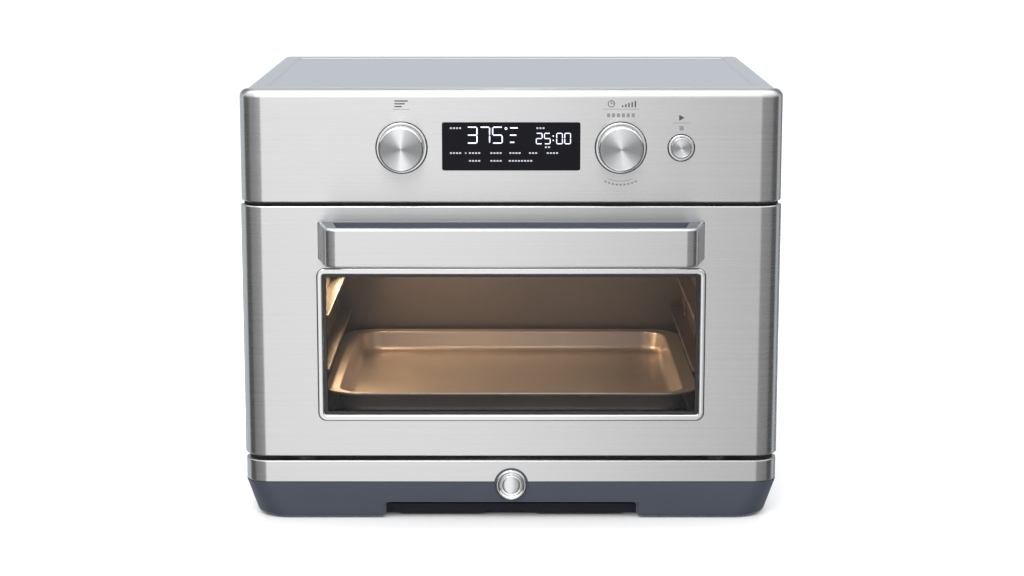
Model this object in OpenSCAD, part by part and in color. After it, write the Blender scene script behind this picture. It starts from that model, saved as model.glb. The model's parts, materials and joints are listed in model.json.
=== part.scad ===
// Counter-top toaster oven with a drop-down glass door, a convection fan in
// the ceiling, a control panel above the door and a crumb tray in the base.
// Millimetres, +Z up, front towards -Y. The origin is under the middle of the
// oven, at the surface that it stands on. Inside from_face(), Y = 0 is the
// front face of the door.

/* [Body] */
// Width over the steel case
body_w = 443; // [400:1:540]
// Height from the counter to the top of the case
body_h = 360; // [320:5:440]
// Depth from the door's front face to the rear edge of the case
body_d = 350; // [300:5:420]
// Thickness of the outer sheet steel
sheet = 1.2; // [0.8:0.1:1.6]
// Radius of the case's two long top edges
case_r = 8; // [4:1:14]
// Depth of the pressed panel in the top of the case
top_press = 0.8; // [0.4:0.1:1]
// Margin of steel around the pressed panel
top_margin = 20; // [10:1:30]

/* [Base] */
// Height of the plastic base's top edge
skirt_h = 31.2; // [28:0.2:40]
// How far each side of the base slopes in towards the counter
skirt_slope = 8.8; // [0:0.2:11]
// Thickness of the base's wall
skirt_wall = 3; // [2:0.5:4]
// Plan radius of the base's front corners at its top edge
skirt_r = 20; // [12:1:24]
// Plan radius of the base's front corners at the counter
skirt_low_r = 29; // [20:1:32]
// Clearance between the counter and the base's lower edge
skirt_lift = 1.5; // [1:0.5:3]
// Width of the notch in the base's front
notch_w = 214; // [180:2:240]
// Height of the notch's top edge
notch_h = 13.9; // [12:0.1:16]
// Diameter of a rubber foot
foot_d = 20; // [14:1:26]
// Diameter of the posts that carry the feet
post_d = 26; // [24:1:34]
// Diameter of the front badge
badge_d = 25.5; // [20:0.5:34]

/* [Front] */
// Height of the steel strip under the door
trim_h = 18.6; // [14:0.2:24]
// Gap between the strip and the door
door_gap = 3.9; // [3.5:0.1:6]
// Height of the control panel
fascia_h = 92; // [80:1:110]
// Gap between the door and the control panel
fascia_gap = 3; // [2:0.5:5]
// Depth of the front parts, back to the front frame
front_d = 22; // [21:0.5:26]
// How far the door and the panel stand out past each side of the case
front_proud = 1.8; // [0:0.1:4]
// Plan radius of the door's and the strip's corners
door_r = 19; // [8:1:19]
// Plan radius of the control panel's corners
fascia_r = 20; // [8:1:20.5]
// Radius of the control panel's top edge
fascia_top_r = 7; // [3:1:10]

/* [Door] */
// Depth of the door
door_d = 20; // [18:0.5:20.5]
// Steel left on each side of the window
window_side = 67.8; // [45:0.2:90]
// Steel left under the window
window_low = 35.7; // [28:0.5:60]
// Steel left over the window
window_top = 57; // [54:0.5:80]
// Visible width of the bright trim around the window
window_trim_w = 4.8; // [3:0.2:7]
// Thickness of the glass
glass_t = 4; // [3:0.5:6]
// Height of the hinge axis over the door's lower edge
hinge_rise = 6.3; // [6:0.1:8]
// Distance of the hinge axis behind the door's face
hinge_in = 6; // [5.5:0.1:7]
// Radius of the hinge pins
pin_r = 2; // [1.5:0.1:2.2]
// Distance of the hinges in from the door's sides
hinge_side = 40.8; // [36:0.2:48]

/* [Handle] */
// How far the handle stands out from the door
handle_out = 42; // [36:1:44]
// Height of the handle's bar
handle_h = 32; // [24:1:36]
// Gap between the handle's top and the door's top
handle_drop = 12.5; // [8:0.5:20]
// Steel left beside the handle's foot
handle_side = 62.3; // [45:0.1:80]
// How far each end leans in from the door to the front
handle_lean = 8.5; // [4:0.5:24]
// Plan radius of the handle's front corners
handle_r = 10.5; // [4:0.5:14]
// Thickness of the bar, front to back
handle_t = 10.5; // [8:0.5:16]
// Thickness of the plastic plate between the handle and the door
handle_plate = 2.5; // [2:0.5:4]
// Thickness of the handle's steel skin
handle_skin = 1.6; // [1:0.2:2.5]

/* [Cavity] */
// Space between the case and each side of the cavity
cavity_side = 56.5; // [50:0.5:70]
// Space between the cavity and the case's rear edge
cavity_back = 34; // [22:1:50]
// Height of the cavity's floor over the door's lower edge
floor_rise = 2.3; // [1.5:0.1:5]
// Distance of the cavity's ceiling under the door's top
ceiling_drop = 15; // [12:1:24]
// Thickness of the cavity's sheet
liner_t = 1; // [0.8:0.1:1.2]
// Radius of the cavity's long corners
cavity_r = 6; // [3:0.5:6]
// Diameter of a heating element
heater_d = 8; // [6:0.5:10]
// Diameter of the convection impeller
fan_d = 136; // [110:2:150]
// Number of the impeller's blades
blade_count = 8; // [5:1:12]

/* [Rack and pan] */
// Diameter of the rack's frame wire
rack_wire = 4; // [3:0.5:5]
// Number of wires across the rack
rack_wires = 13; // [7:2:21]
// Height of the rack's rails over the cavity's floor
rail_rise = 20.2; // [20:0.1:24]
// Distance between two levels of rails
rail_pitch = 46; // [40:1:50]
// Depth of the baking pan
pan_h = 20; // [14:1:26]
// Width of the pan's rim
pan_rim = 14; // [8:1:20]

/* [Controls] */
// Diameter of the two knobs
knob_d = 36.6; // [30:0.2:44]
// How far the knobs stand out from the panel
knob_out = 14.5; // [14:0.5:24]
// Distance of each knob from the middle
knob_x = 89.5; // [84:0.5:100]
// Diameter of the start button
button_d = 16.4; // [13:0.2:20]
// Distance of the start button from the middle
button_x = 138.8; // [134:0.2:160]
// Width of the display's window
display_w = 113; // [90:1:120]
// Height of the display's window
display_h = 39.6; // [30:0.2:46]
// Radius of the control shafts
shaft_r = 3; // [2.5:0.1:3.5]

/* [Clearances] */
// Gap between neighbouring parts
gap = 0.3; // [0.2:0.05:0.5]
// Radial clearance of a shaft in its bearing
running = 0.05; // [0.02:0.01:0.1]
// Radial clearance of a part that is pushed home and stays
snug = 0.02; // [0.01:0.01:0.04]

/* [Hidden] */
$fn = 48;

// heights of the front, from the counter up
trim_z = skirt_h;
trim_top = trim_z + trim_h;
door_z = trim_top + door_gap;
fascia_z = body_h - fascia_h;
door_top = fascia_z - fascia_gap;
control_z = fascia_z + 0.49 * fascia_h;
display_z = control_z + 1.1;
face_y = (handle_out - body_d) / 2;

// widths
door_w = body_w + 2 * front_proud;
fascia_w = door_w;
inner_w = body_w - 2 * (sheet + gap);
post_x = body_w / 2 - 27;
post_y = [36, body_d - 36];

// window, from the door's outline
window_w = door_w - 2 * window_side + 2 * window_trim_w;
window_z = door_z + window_low - window_trim_w;
window_h = door_top - window_top + window_trim_w - window_z;
trim_lap = 1.6;
trim_out = 0.8;
glass_y = sheet + 0.1;
glass_lap = 3;

// hinge
hinge_z = door_z + hinge_rise;
hinge_x = door_w / 2 - hinge_side;
hinge_t = 2.5;
nose_r = 4;
inner_z = hinge_z + nose_r + 1;
inner_top = door_top - 7;
inner_w_door = door_w - 2 * door_r - 1;
plate_t = 2;

// handle
handle_top = door_top - handle_drop;
handle_z = handle_top - handle_h;
handle_x = door_w / 2 - handle_side;
post_t = 14;

// front frame and cavity
frame_y = front_d;
cavity_y = frame_y + sheet;
cavity_end = body_d - cavity_back;
cavity_x = body_w / 2 - cavity_side;
floor_z = door_z + floor_rise;
ceiling_z = door_top - ceiling_drop;
roof_z = ceiling_z + liner_t;
divider_z = roof_z + 13.3;
divider_top = divider_z + sheet;
panel_y = body_d - 4 - sheet;

// base
skirt_proud = front_proud + 0.4;
rib_x = body_w / 2 + skirt_proud - skirt_slope - 0.5;
base_z = skirt_h - sheet - 0.2;
foot_h = skirt_lift + 2.5;
badge_z = skirt_h - 2.3;

// crumb tray and chute
tray_x = notch_w / 2 - 3.7;
tray_y = 12;
tray_z = skirt_lift + 1;
tray_h = 7.5;
tray_sheet = 0.8;
chute_x = tray_x - 3;
chute_y = [tray_y + 30, cavity_end - 30];
chute_z = tray_z + tray_h + 1;

// oven lamp in the left wall, and the thermostat's probe in the right wall
lamp_r = 16;
lamp_y = cavity_end - 62;
lamp_z = ceiling_z - 40;
probe_y = cavity_end - 30;
probe_z = ceiling_z - 30;

// heaters
upper_z = ceiling_z - 14;
lower_z = floor_z + heater_d / 2 + 8.5;
fan_y = (cavity_y + cavity_end) / 2;
upper_y = [fan_y - 112, fan_y - 54, fan_y + 54, fan_y + 112];
lower_y = [fan_y - 75, fan_y + 75];
heater_reach = cavity_x + 14;

// fan
dome_r = fan_d / 2 + 9;
dome_h = 26;
dome_top = roof_z + dome_h;
bracket_z = divider_top + 26;
motor_h = 20;
impeller_z = ceiling_z + 5;
blade_h = 13;
spindle_top = bracket_z + sheet + motor_h + 12;

// rack and pan
rail_z = floor_z + rail_rise;
rail_t = 1;
rail_in = 12;
rail_levels = [for (i = [0 : 2]) rail_z + i * rail_pitch];
rack_z = rail_z + gap;
rack_top = rack_z + rack_wire;
rack_x = cavity_x - 10;
rack_y = [cavity_y + 12.8, cavity_end - 10];
pan_sheet = 1;
pan_x = cavity_x - 5;
pan_y = [cavity_y + 8.5, cavity_end - 9];
pan_r = 30;
pan_end = 8;

// controls
housing_w = fascia_w - 2 * fascia_r - 3;
housing_z = [fascia_z + 5, body_h - 8];
plate_y = 8;
board_y = 16;
board_t = 1.6;
bezel_w = 1.9;
bezel_out = 2;
bezel_gap = 0.5;
shaft_tip = 12.5;
encoder_y = plate_y + 2;
press_travel = 1;
select_travel = 1.2;
button_out = 3.5;
stem_tip = 12.6;

steel = "lightsteelblue";
dark_steel = "slategray";
slate = [0.31, 0.33, 0.37];
black = [0.1, 0.1, 0.11];

// ---- helpers ----

// Places what is drawn from the door's face in the oven's own frame
module from_face() translate([0, face_y, 0]) children();

// The children and their mirror image across the middle
module both_sides() {
    children();
    mirror([1, 0, 0]) children();
}

// A block from its two limits along each axis
module slab(x, y, z)
    translate([x[0], y[0], z[0]]) cube([x[1] - x[0], y[1] - y[0], z[1] - z[0]]);

// A block centred on the middle of the oven
module wide(w, y, z) slab([-w / 2, w / 2], y, z);

// Round bars along each axis, between two limits
module rod_x(x, y, z, r) translate([x[0], y, z]) rotate([0, 90, 0]) cylinder(r = r, h = x[1] - x[0]);
module rod_y(x, y, z, r) translate([x, y[0], z]) rotate([-90, 0, 0]) cylinder(r = r, h = y[1] - y[0]);
module rod_z(x, y, z, r) translate([x, y, z[0]]) cylinder(r = r, h = z[1] - z[0]);

// A rectangle with round corners, by its limits
module round_rect(x, y, r) {
    translate([x[0] + r, y[0]]) square([x[1] - x[0] - 2 * r, y[1] - y[0]]);
    translate([x[0], y[0] + r]) square([x[1] - x[0], y[1] - y[0] - 2 * r]);
    for (cx = [x[0] + r, x[1] - r], cy = [y[0] + r, y[1] - r])
        translate([cx, cy]) circle(r);
}

// A front view, extruded from front to back
module along_y(y) translate([0, y[1], 0]) rotate([90, 0, 0]) linear_extrude(y[1] - y[0]) children();

// A side view, drawn as [y, z], extruded from side to side
module along_x(x) translate([x[0], 0, 0]) rotate([90, 0, 90]) linear_extrude(x[1] - x[0]) children();

// A plate with round corners that faces the front
module plate(x, z, y, r) along_y(y) round_rect(x, z, r);

// The plan of a front part: two round corners at the front, square at the back
module front_plan(w, d, r)
    intersection() {
        translate([-w / 2, 0]) square([w, d]);
        round_rect([-w / 2, w / 2], [0, d + 2 * r], r);
    }

// ---- case and base ----

// The case's outline from the front: round long edges, open at the bottom
module case_outline(inset) {
    half = body_w / 2 - inset;
    top = body_h - inset;
    r = case_r - inset;
    bottom = skirt_h + 0.2;
    translate([-half, bottom]) square([2 * half, top - r - bottom]);
    translate([-half + r, bottom]) square([2 * (half - r), top - bottom]);
    for (side = [-1, 1]) translate([side * (half - r), top - r]) circle(r);
}

module outer_case() from_face() color(steel) {
    front = front_d + 0.2;
    difference() {
        along_y([front, body_d]) case_outline(0);
        along_y([front - 1, body_d + 1]) difference() {
            case_outline(sheet);
            translate([-body_w / 2 + top_margin, body_h - top_press - sheet])
                square([body_w - 2 * top_margin, sheet + top_press]);
        }
        translate([0, 0, body_h - top_press]) linear_extrude(top_press + 1)
            round_rect([-body_w / 2 + top_margin, body_w / 2 - top_margin],
                [front + top_margin, body_d - top_margin], 10);
        both_sides() for (i = [0 : 6])
            translate([body_w / 2 - sheet - 1, body_d - 100 + i * 10, fascia_z + 8])
                cube([sheet + 2, 3, 50]);
    }
    // the flange that the back panel is screwed to
    difference() {
        along_y([panel_y - sheet - 0.01, panel_y - 0.01]) difference() {
            case_outline(sheet);
            translate([-body_w / 2 + 14, skirt_h + 14]) square([body_w - 28, body_h - skirt_h - 28]);
        }
        back_screw_places() rod_y(0, [panel_y - 5, panel_y + 5], 0, 1.6);
    }
}

// Each of the screws that hold the back panel
module back_screw_places()
    for (x = [-1, 1], z = [skirt_h + 9, (skirt_h + body_h) / 2, body_h - 10])
        translate([x * (body_w / 2 - 9), 0, z]) children();

module back_panel() from_face() color(dark_steel) difference() {
    plate([-inner_w / 2, inner_w / 2], [skirt_h + 0.4, body_h - sheet - gap - top_press],
        [panel_y, panel_y + sheet], 6);
    back_screw_places() rod_y(0, [panel_y - 1, panel_y + 3], 0, 1.8);
    for (column = [-1, 1], row = [0 : 8])
        plate([column * 95 - 40, column * 95 + 40], [fascia_z + row * 8, fascia_z + 4 + row * 8],
            [panel_y - 1, panel_y + sheet + 1], 1.9);
    rod_y(-body_w / 2 + 45, [panel_y - 1, panel_y + sheet + 1], skirt_h + 40, 8 + snug);
}

module case_screws() from_face() color(black) {
    back_screw_places() {
        rod_y(0, [panel_y - 6, panel_y + sheet], 0, 1.58);
        rod_y(0, [panel_y + sheet, panel_y + sheet + 1.8], 0, 3.5);
    }
    for (x = [-1, 1], y = post_y) {
        rod_z(x * post_x, y, [base_z - 12, base_z + sheet], 1.58);
        rod_z(x * post_x, y, [base_z + sheet, base_z + sheet + 1.8], 3.5);
    }
}

module cord_inlet() from_face() color(black) translate([-body_w / 2 + 45, 0, skirt_h + 40])
    difference() {
        union() {
            rod_y(0, [panel_y - 6, panel_y + sheet], 0, 8);
            rod_y(0, [panel_y + sheet, panel_y + sheet + 2.5], 0, 11);
            rod_y(0, [panel_y - 9, panel_y - gap], 0, 7.5);
        }
        rod_y(0, [panel_y - 10, body_d + 1], 0, 4);
    }

// The base's plan at one height, drawn in by the given distance
module skirt_plan(half, inset, r)
    translate([0, inset]) front_plan(2 * (half - inset), body_d - 2 * inset, r - inset, $fn = 32);

// The base's outer shape between two heights, drawn in by the given distance:
// the sides slope in towards the counter, and the front corners get rounder
module skirt_body(inset, z) hull() {
    top_half = body_w / 2 + skirt_proud;
    translate([0, 0, z[1] - 0.01]) linear_extrude(0.01) skirt_plan(top_half, inset, skirt_r);
    translate([0, 0, z[0]]) linear_extrude(0.01) skirt_plan(top_half - skirt_slope, inset, skirt_low_r);
}

module base_skirt() from_face() color(slate) difference() {
    union() {
        difference() {
            skirt_body(0, [skirt_lift, skirt_h]);
            skirt_body(skirt_wall, [skirt_lift - 1, skirt_h + 1]);
        }
        for (x = [-1, 1], y = post_y) {
            rod_z(x * post_x, y, [skirt_lift, base_z], post_d / 2);
            slab([x > 0 ? post_x : -rib_x, x > 0 ? rib_x : -post_x], [y - 1.5, y + 1.5],
                [skirt_lift + 6, base_z]);
        }
        // the collar that rises over the strip around the badge
        rod_y(0, [-0.6, skirt_wall], badge_z, badge_d / 2 + 1.8);
    }
    slab([-notch_w / 2, notch_w / 2], [-1, skirt_wall + 1], [0, notch_h]);
    for (x = [-1, 1], y = post_y) {
        rod_z(x * post_x, y, [0, foot_h + snug], foot_d / 2 + snug);
        rod_z(x * post_x, y, [base_z - 13, base_z + 1], 1.6);
    }
    rod_y(0, [-1, 0.2], badge_z, badge_d / 2 + 0.1);
}

module base_pan() from_face() color(dark_steel) difference() {
    plate_limits = body_w / 2 - skirt_wall - 3;
    translate([0, 0, base_z]) linear_extrude(sheet)
        round_rect([-plate_limits, plate_limits], [skirt_wall + gap, body_d - skirt_wall - 3], fascia_r);
    wide(2 * (chute_x + gap), [chute_y[0] - gap, chute_y[1] + gap], [base_z - 1, base_z + 2]);
    for (x = [-1, 1], y = post_y) rod_z(x * post_x, y, [base_z - 1, base_z + 3], 1.7);
    for (x = [-1, 1], i = [0 : 9])
        slab([x * 160 - 20, x * 160 + 20], [90 + 16 * i, 94 + 16 * i], [base_z - 1, base_z + 2]);
}

module rubber_feet() from_face() color(black)
    for (x = [-1, 1], y = post_y) {
        rod_z(x * post_x, y, [0, foot_h], foot_d / 2);
    }

module lower_trim() from_face() color(steel) difference() {
    translate([0, 0, trim_z + 0.1]) linear_extrude(trim_h - 0.1)
        front_plan(door_w, front_d - 0.1, door_r);
    translate([0, sheet, trim_z - 1]) linear_extrude(trim_h + 1 - sheet)
        front_plan(door_w - 2 * sheet, front_d, door_r - sheet);
    rod_y(0, [-1, skirt_wall + 1], badge_z, badge_d / 2 + 2.1);
}

module badge() from_face() color("silver") {
    rod_y(0, [-1.6, 0.15], badge_z, badge_d / 2 - 0.1);
    translate([0, -1.6, badge_z]) rotate([90, 0, 0]) rotate_extrude()
        translate([badge_d / 2 - 2.2, 0]) circle(0.7);
}

// ---- cavity ----

module front_frame() from_face() color(dark_steel) difference() {
    plate([-inner_w / 2, inner_w / 2], [skirt_h + 0.2, body_h - sheet - gap - top_press],
        [frame_y, frame_y + sheet], 6);
    plate([-cavity_x, cavity_x], [floor_z, ceiling_z], [frame_y - 1, frame_y + sheet + 1],
        cavity_r);
    plate([-housing_w / 2 + 6, housing_w / 2 - 6], [housing_z[0] + 6, housing_z[1] - 6],
        [frame_y - 1, frame_y + sheet + 1], 6);
}

module cavity_liner() from_face() color("silver") difference() {
    along_y([cavity_y, cavity_end + liner_t])
        round_rect([-cavity_x - liner_t, cavity_x + liner_t], [floor_z - liner_t, roof_z],
            cavity_r + liner_t);
    along_y([cavity_y - 1, cavity_end])
        round_rect([-cavity_x, cavity_x], [floor_z, ceiling_z], cavity_r);
    wide(2 * (chute_x - liner_t), [chute_y[0] + liner_t, chute_y[1] - liner_t], [floor_z - 3, floor_z + 1]);
    rod_z(0, fan_y, [ceiling_z - 1, roof_z + 1], dome_r - 3);
    both_sides() {
        for (y = upper_y) rod_x([cavity_x - 1, cavity_x + 3], y, upper_z, heater_d / 2 + 2.5);
        for (y = lower_y) rod_x([cavity_x - 1, cavity_x + 3], y, lower_z, heater_d / 2 + 2.5);
    }
    rod_x([-cavity_x - 3, -cavity_x + 1], lamp_y, lamp_z, lamp_r + gap);
    rod_x([cavity_x - 1, cavity_x + 3], probe_y, probe_z, 3.2);
}

// One side's rails, with the uprights that carry them
module rack_guide() {
    wall = [cavity_x - 1, cavity_x];
    for (y = [rack_y[0] + 24, rack_y[1] - 34])
        slab(wall, [y, y + 12], [rail_z - 12, max(rail_levels) + 12]);
    for (z = rail_levels) {
        slab([cavity_x - rail_in, cavity_x], [cavity_y + 4, rack_y[1]], [z - rail_t, z]);
        slab(wall, [cavity_y + 4, rack_y[1]], [z - 3, z]);
    }
}

module rack_guides() from_face() color("silver") both_sides() rack_guide();

module heater(y, z) rod_x([-heater_reach, heater_reach], y, z, heater_d / 2);

module upper_heaters() from_face() color("dimgray") for (y = upper_y) heater(y, upper_z);

module lower_heaters() from_face() color("dimgray") for (y = lower_y) heater(y, lower_z);

module heater_insulator(y, z) difference() {
    union() {
        rod_x([cavity_x, cavity_x + 8], y, z, heater_d / 2 + 2.4);
        rod_x([cavity_x + liner_t + 0.05, cavity_x + 8], y, z, heater_d / 2 + 4.4);
    }
    rod_x([cavity_x - 3, cavity_x + 9], y, z, heater_d / 2 + snug);
}

module heater_insulators() from_face() color("ivory") both_sides() {
    for (y = upper_y) heater_insulator(y, upper_z);
    for (y = lower_y) heater_insulator(y, lower_z);
}

module fan_cover() from_face() color("silver") translate([0, fan_y, ceiling_z]) difference() {
    union() {
        translate([0, 0, -sheet]) cylinder(r = dome_r + 4, h = sheet);
        translate([0, 0, -sheet]) cylinder(r = dome_r - 4, h = sheet + 0.8);
    }
    for (ring = [1 : 4], i = [0 : 6 * ring - 1])
        rotate(i * 60 / ring) translate([ring * (dome_r - 18) / 4, 0, -3]) cylinder(r = 2.6, h = 6);
    translate([0, 0, -3]) cylinder(r = 2.6, h = 6);
}

module fan_housing() from_face() color("silver") translate([0, fan_y, roof_z]) difference() {
    union() {
        cylinder(r = dome_r + 10, h = liner_t);
        cylinder(r = dome_r, h = dome_h);
    }
    translate([0, 0, -1]) cylinder(r = dome_r - liner_t, h = dome_h + 1 - liner_t);
    cylinder(r = shaft_r + 1, h = dome_h + 1);
}

module motor_bracket() from_face() color(dark_steel) translate([0, fan_y, 0]) difference() {
    union() {
        wide(2 * (dome_r + 16), [-22, 22], [bracket_z, bracket_z + sheet]);
        both_sides() {
            slab([dome_r + 16 - sheet, dome_r + 16], [-22, 22], [divider_top, bracket_z]);
            slab([dome_r + 16, dome_r + 28], [-22, 22], [divider_top, divider_top + sheet]);
        }
    }
    rod_z(0, 0, [bracket_z - 1, bracket_z + 3], shaft_r + 1);
}

module fan_motor() from_face() color("dimgray") translate([0, fan_y, bracket_z + sheet]) difference() {
    union() {
        translate([-32, -20, 2]) cube([64, 40, motor_h - 4]);
        cylinder(r = 16, h = motor_h);
        translate([0, 0, motor_h]) cylinder(r = 9, h = 4);
    }
    translate([0, 0, -1]) cylinder(r = shaft_r + running, h = motor_h + 6);
}

module fan_shaft() from_face() color("silver")
    rod_z(0, fan_y, [impeller_z, spindle_top], shaft_r);

module fan_impeller() from_face() color("lightgray") translate([0, fan_y, impeller_z]) difference() {
    union() {
        translate([0, 0, blade_h]) cylinder(r = fan_d / 2, h = 1);
        cylinder(r = 9, h = blade_h + 1);
        for (i = [0 : blade_count - 1]) rotate(i * 360 / blade_count)
            translate([fan_d / 5, 0, 0]) rotate(20) translate([0, -0.5, 0])
                cube([fan_d * 0.29, 1, blade_h]);
    }
    translate([0, 0, -1]) cylinder(r = shaft_r + snug, h = blade_h + 3);
}

module cooling_fan() from_face() color("lightgray")
    translate([0, fan_y, (dome_top + bracket_z) / 2 - 4]) difference() {
        union() {
            cylinder(r = 8, h = 8);
            for (i = [0 : 5]) rotate(i * 60) translate([6, 0, 4]) rotate([30, 0, 0])
                translate([0, -8, -0.6]) cube([44, 16, 1.2]);
        }
        translate([0, 0, -6]) cylinder(r = shaft_r + snug, h = 20);
    }

module lamp_holder() from_face() color("gainsboro") translate([0, lamp_y, lamp_z]) difference() {
    union() {
        rod_x([-cavity_x - liner_t - 2.05, -cavity_x - liner_t - 0.05], 0, 0, lamp_r + 6);
        rod_x([-cavity_x - 36, -cavity_x - liner_t - 2], 0, 0, lamp_r + 1);
    }
    rod_x([-cavity_x - 24, -cavity_x], 0, 0, lamp_r - 1);
    rod_x([-cavity_x - 3.1, -cavity_x], 0, 0, lamp_r + snug);
    rod_x([-cavity_x - 37, -cavity_x], 0, 0, 4 + snug);
}

module lamp_bulb() from_face() color("gold") translate([0, lamp_y, lamp_z]) {
    rod_x([-cavity_x - 34, -cavity_x - 18], 0, 0, 4);
    translate([-cavity_x - 12.5, 0, 0]) sphere(r = 7);
    rod_x([-cavity_x - 19, -cavity_x - 13], 0, 0, 5);
}

module lamp_lens() from_face() color("khaki") translate([-cavity_x, lamp_y, lamp_z])
    rotate([0, 90, 0]) difference() {
        union() {
            translate([0, 0, -3]) cylinder(r = lamp_r, h = 5);
            translate([0, 0, 0.05]) cylinder(r = lamp_r + 3, h = 1.5);
        }
        translate([0, 0, -4]) cylinder(r = lamp_r - 2, h = 5);
    }

module temperature_probe() from_face() color("silver") {
    rod_x([cavity_x - 18, cavity_x + 14], probe_y, probe_z, 2);
    rod_x([cavity_x - 2, cavity_x + 8], probe_y, probe_z, 3);
    rod_x([cavity_x + liner_t + 0.05, cavity_x + 5], probe_y, probe_z, 5);
}

module insulation() from_face() color("wheat") {
    difference() {
        wide(2 * cavity_x - 10, [cavity_y + gap, cavity_end], [roof_z + gap, divider_z - gap]);
        rod_z(0, fan_y, [roof_z, divider_z], dome_r + 10 + gap);
    }
    wide(2 * cavity_x - 10, [cavity_end + liner_t + gap, cavity_end + 13], [floor_z + 6, ceiling_z - 4]);
}

module divider_panel() from_face() color(dark_steel) difference() {
    wide(inner_w, [frame_y + sheet + 0.02, panel_y - 1 - sheet - 0.5], [divider_z, divider_top]);
    rod_z(0, fan_y, [divider_z - 1, divider_top + 1], dome_r + 3);
    for (x = [-1, 1], i = [0 : 5])
        slab([x * 160 - 20, x * 160 + 20], [cavity_end - 80 + 12 * i, cavity_end - 76 + 12 * i],
            [divider_z - 1, divider_top + 1]);
}

module crumb_chute() from_face() color("silver") difference() {
    union() {
        wide(2 * chute_x, chute_y, [chute_z, floor_z - liner_t - 0.05]);
        wide(2 * chute_x + 16, [chute_y[0] - 8, chute_y[1] + 8],
            [floor_z - 2 * liner_t - 0.05, floor_z - liner_t - 0.05]);
    }
    wide(2 * (chute_x - liner_t), [chute_y[0] + liner_t, chute_y[1] - liner_t], [chute_z - 1, floor_z]);
}

module tray_runners() from_face() color(dark_steel) both_sides() {
    web = tray_x + gap;
    y = [skirt_wall + 10, cavity_end];
    slab([web, web + 1], y, [tray_z - 1, base_z]);
    slab([web - 9, web + 1], y, [tray_z - 1, tray_z - gap]);
    slab([web, web + 12], y, [base_z - 1, base_z]);
}

module crumb_tray() from_face() color(black) {
    back = cavity_end - 10;
    difference() {
        wide(2 * tray_x, [tray_y, back], [tray_z, tray_z + tray_h]);
        wide(2 * (tray_x - tray_sheet), [tray_y + tray_sheet, back - tray_sheet],
            [tray_z + tray_sheet, tray_z + tray_h + 1]);
    }
    difference() {
        wide(notch_w - 3, [tray_y - 2, tray_y], [skirt_lift + 0.3, tray_z + tray_h]);
        plate([-22, 22], [-6, tray_z + 1.6], [tray_y - 3, tray_y + 1], 2);
    }
}

// ---- controls ----

// The control panel's outer shape: round in plan, and round along its top
module fascia_body(inset, depth) intersection() {
    r = fascia_top_r - inset;
    translate([0, inset, fascia_z + inset]) linear_extrude(fascia_h - 2 * inset)
        front_plan(fascia_w - 2 * inset, depth, fascia_r - inset);
    along_x([-fascia_w / 2, fascia_w / 2]) intersection() {
        translate([0, fascia_z - 1]) square([depth + 9, fascia_h + 1]);
        round_rect([inset, depth + 60], [fascia_z - 60, body_h - inset], r);
    }
    along_y([-1, depth + 9]) intersection() {
        translate([-fascia_w / 2, fascia_z - 1]) square([fascia_w, fascia_h + 1]);
        round_rect([-fascia_w / 2 + inset, fascia_w / 2 - inset], [fascia_z - 60, body_h - inset], r);
    }
}

// Each knob's place on the panel
module knob_places() for (x = [-knob_x, knob_x]) translate([x, 0, control_z]) children();

module display_outline(grow) round_rect([-display_w / 2 - grow, display_w / 2 + grow],
    [display_z - display_h / 2 - grow, display_z + display_h / 2 + grow], max(2 + grow, 1));

module control_fascia() from_face() color(steel) difference() {
    fascia_body(0, front_d - 0.1);
    fascia_body(sheet, front_d + 2);
    knob_places() rod_y(0, [-1, 3], 0, shaft_r + 3);
    along_y([-1, 3]) display_outline(gap);
    rod_y(button_x, [-1, 3], control_z, button_d / 2 + 0.5);
}

module control_housing() from_face() color(black) {
    x = [-housing_w / 2, housing_w / 2];
    difference() {
        plate(x, housing_z, [sheet + 0.05, front_d - 0.05], 6);
        plate([x[0] + 3, x[1] - 3], [housing_z[0] + 3, housing_z[1] - 3], [0, plate_y], 4);
        plate([x[0] + 3, x[1] - 3], [housing_z[0] + 3, housing_z[1] - 3], [plate_y + 2, front_d + 1], 4);
        knob_places() rod_y(0, [plate_y - 1, plate_y + 3], 0, 4.5 + 0.1);
        along_y([plate_y - 1, plate_y + 3]) display_outline(-4);
        rod_y(button_x, [plate_y - 1, plate_y + 3], control_z, 3 + running);
    }
    // the frame that holds the display's window against the plate
    difference() {
        along_y([sheet + 0.05, plate_y]) display_outline(2.4);
        along_y([0, plate_y + 1]) display_outline(0.1);
    }
    // pegs that carry the control board
    both_sides() for (z = [housing_z[0] + 12, housing_z[1] - 12])
        rod_y(housing_w / 2 - 24, [plate_y + 2, board_y - 0.02], z, 3.5);
}

module display_window() from_face() color(black) along_y([-0.4, plate_y - 0.02]) display_outline(0);

module control_board() from_face() color("darkgreen") {
    wide(housing_w - 14, [board_y, board_y + board_t], [housing_z[0] + 6, housing_z[1] - 6]);
    along_y([plate_y + 1, board_y]) display_outline(-5);
    wide(60, [board_y + board_t, board_y + 8], [housing_z[0] + 12, housing_z[0] + 22]);
}

// Rotary encoder: body and bushing, with a blind bore for its shaft
module encoder(depth) difference() {
    union() {
        slab([-7, 7], [encoder_y + 0.05, board_y - 0.02], [-7, 7]);
        rod_y(0, [4, encoder_y + 1], 0, 4.5);
    }
    rod_y(0, [3, depth], 0, shaft_r + running);
}

module encoders() from_face() color("dimgray") {
    translate([-knob_x, 0, control_z]) encoder(shaft_tip + 0.3);
    translate([knob_x, 0, control_z]) encoder(board_y - 0.4);
}

module start_switch() from_face() color("dimgray")
    slab([button_x - 6, button_x + 6], [stem_tip + press_travel + 0.2, board_y - 0.02],
        [control_z - 6, control_z + 6]);

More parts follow.
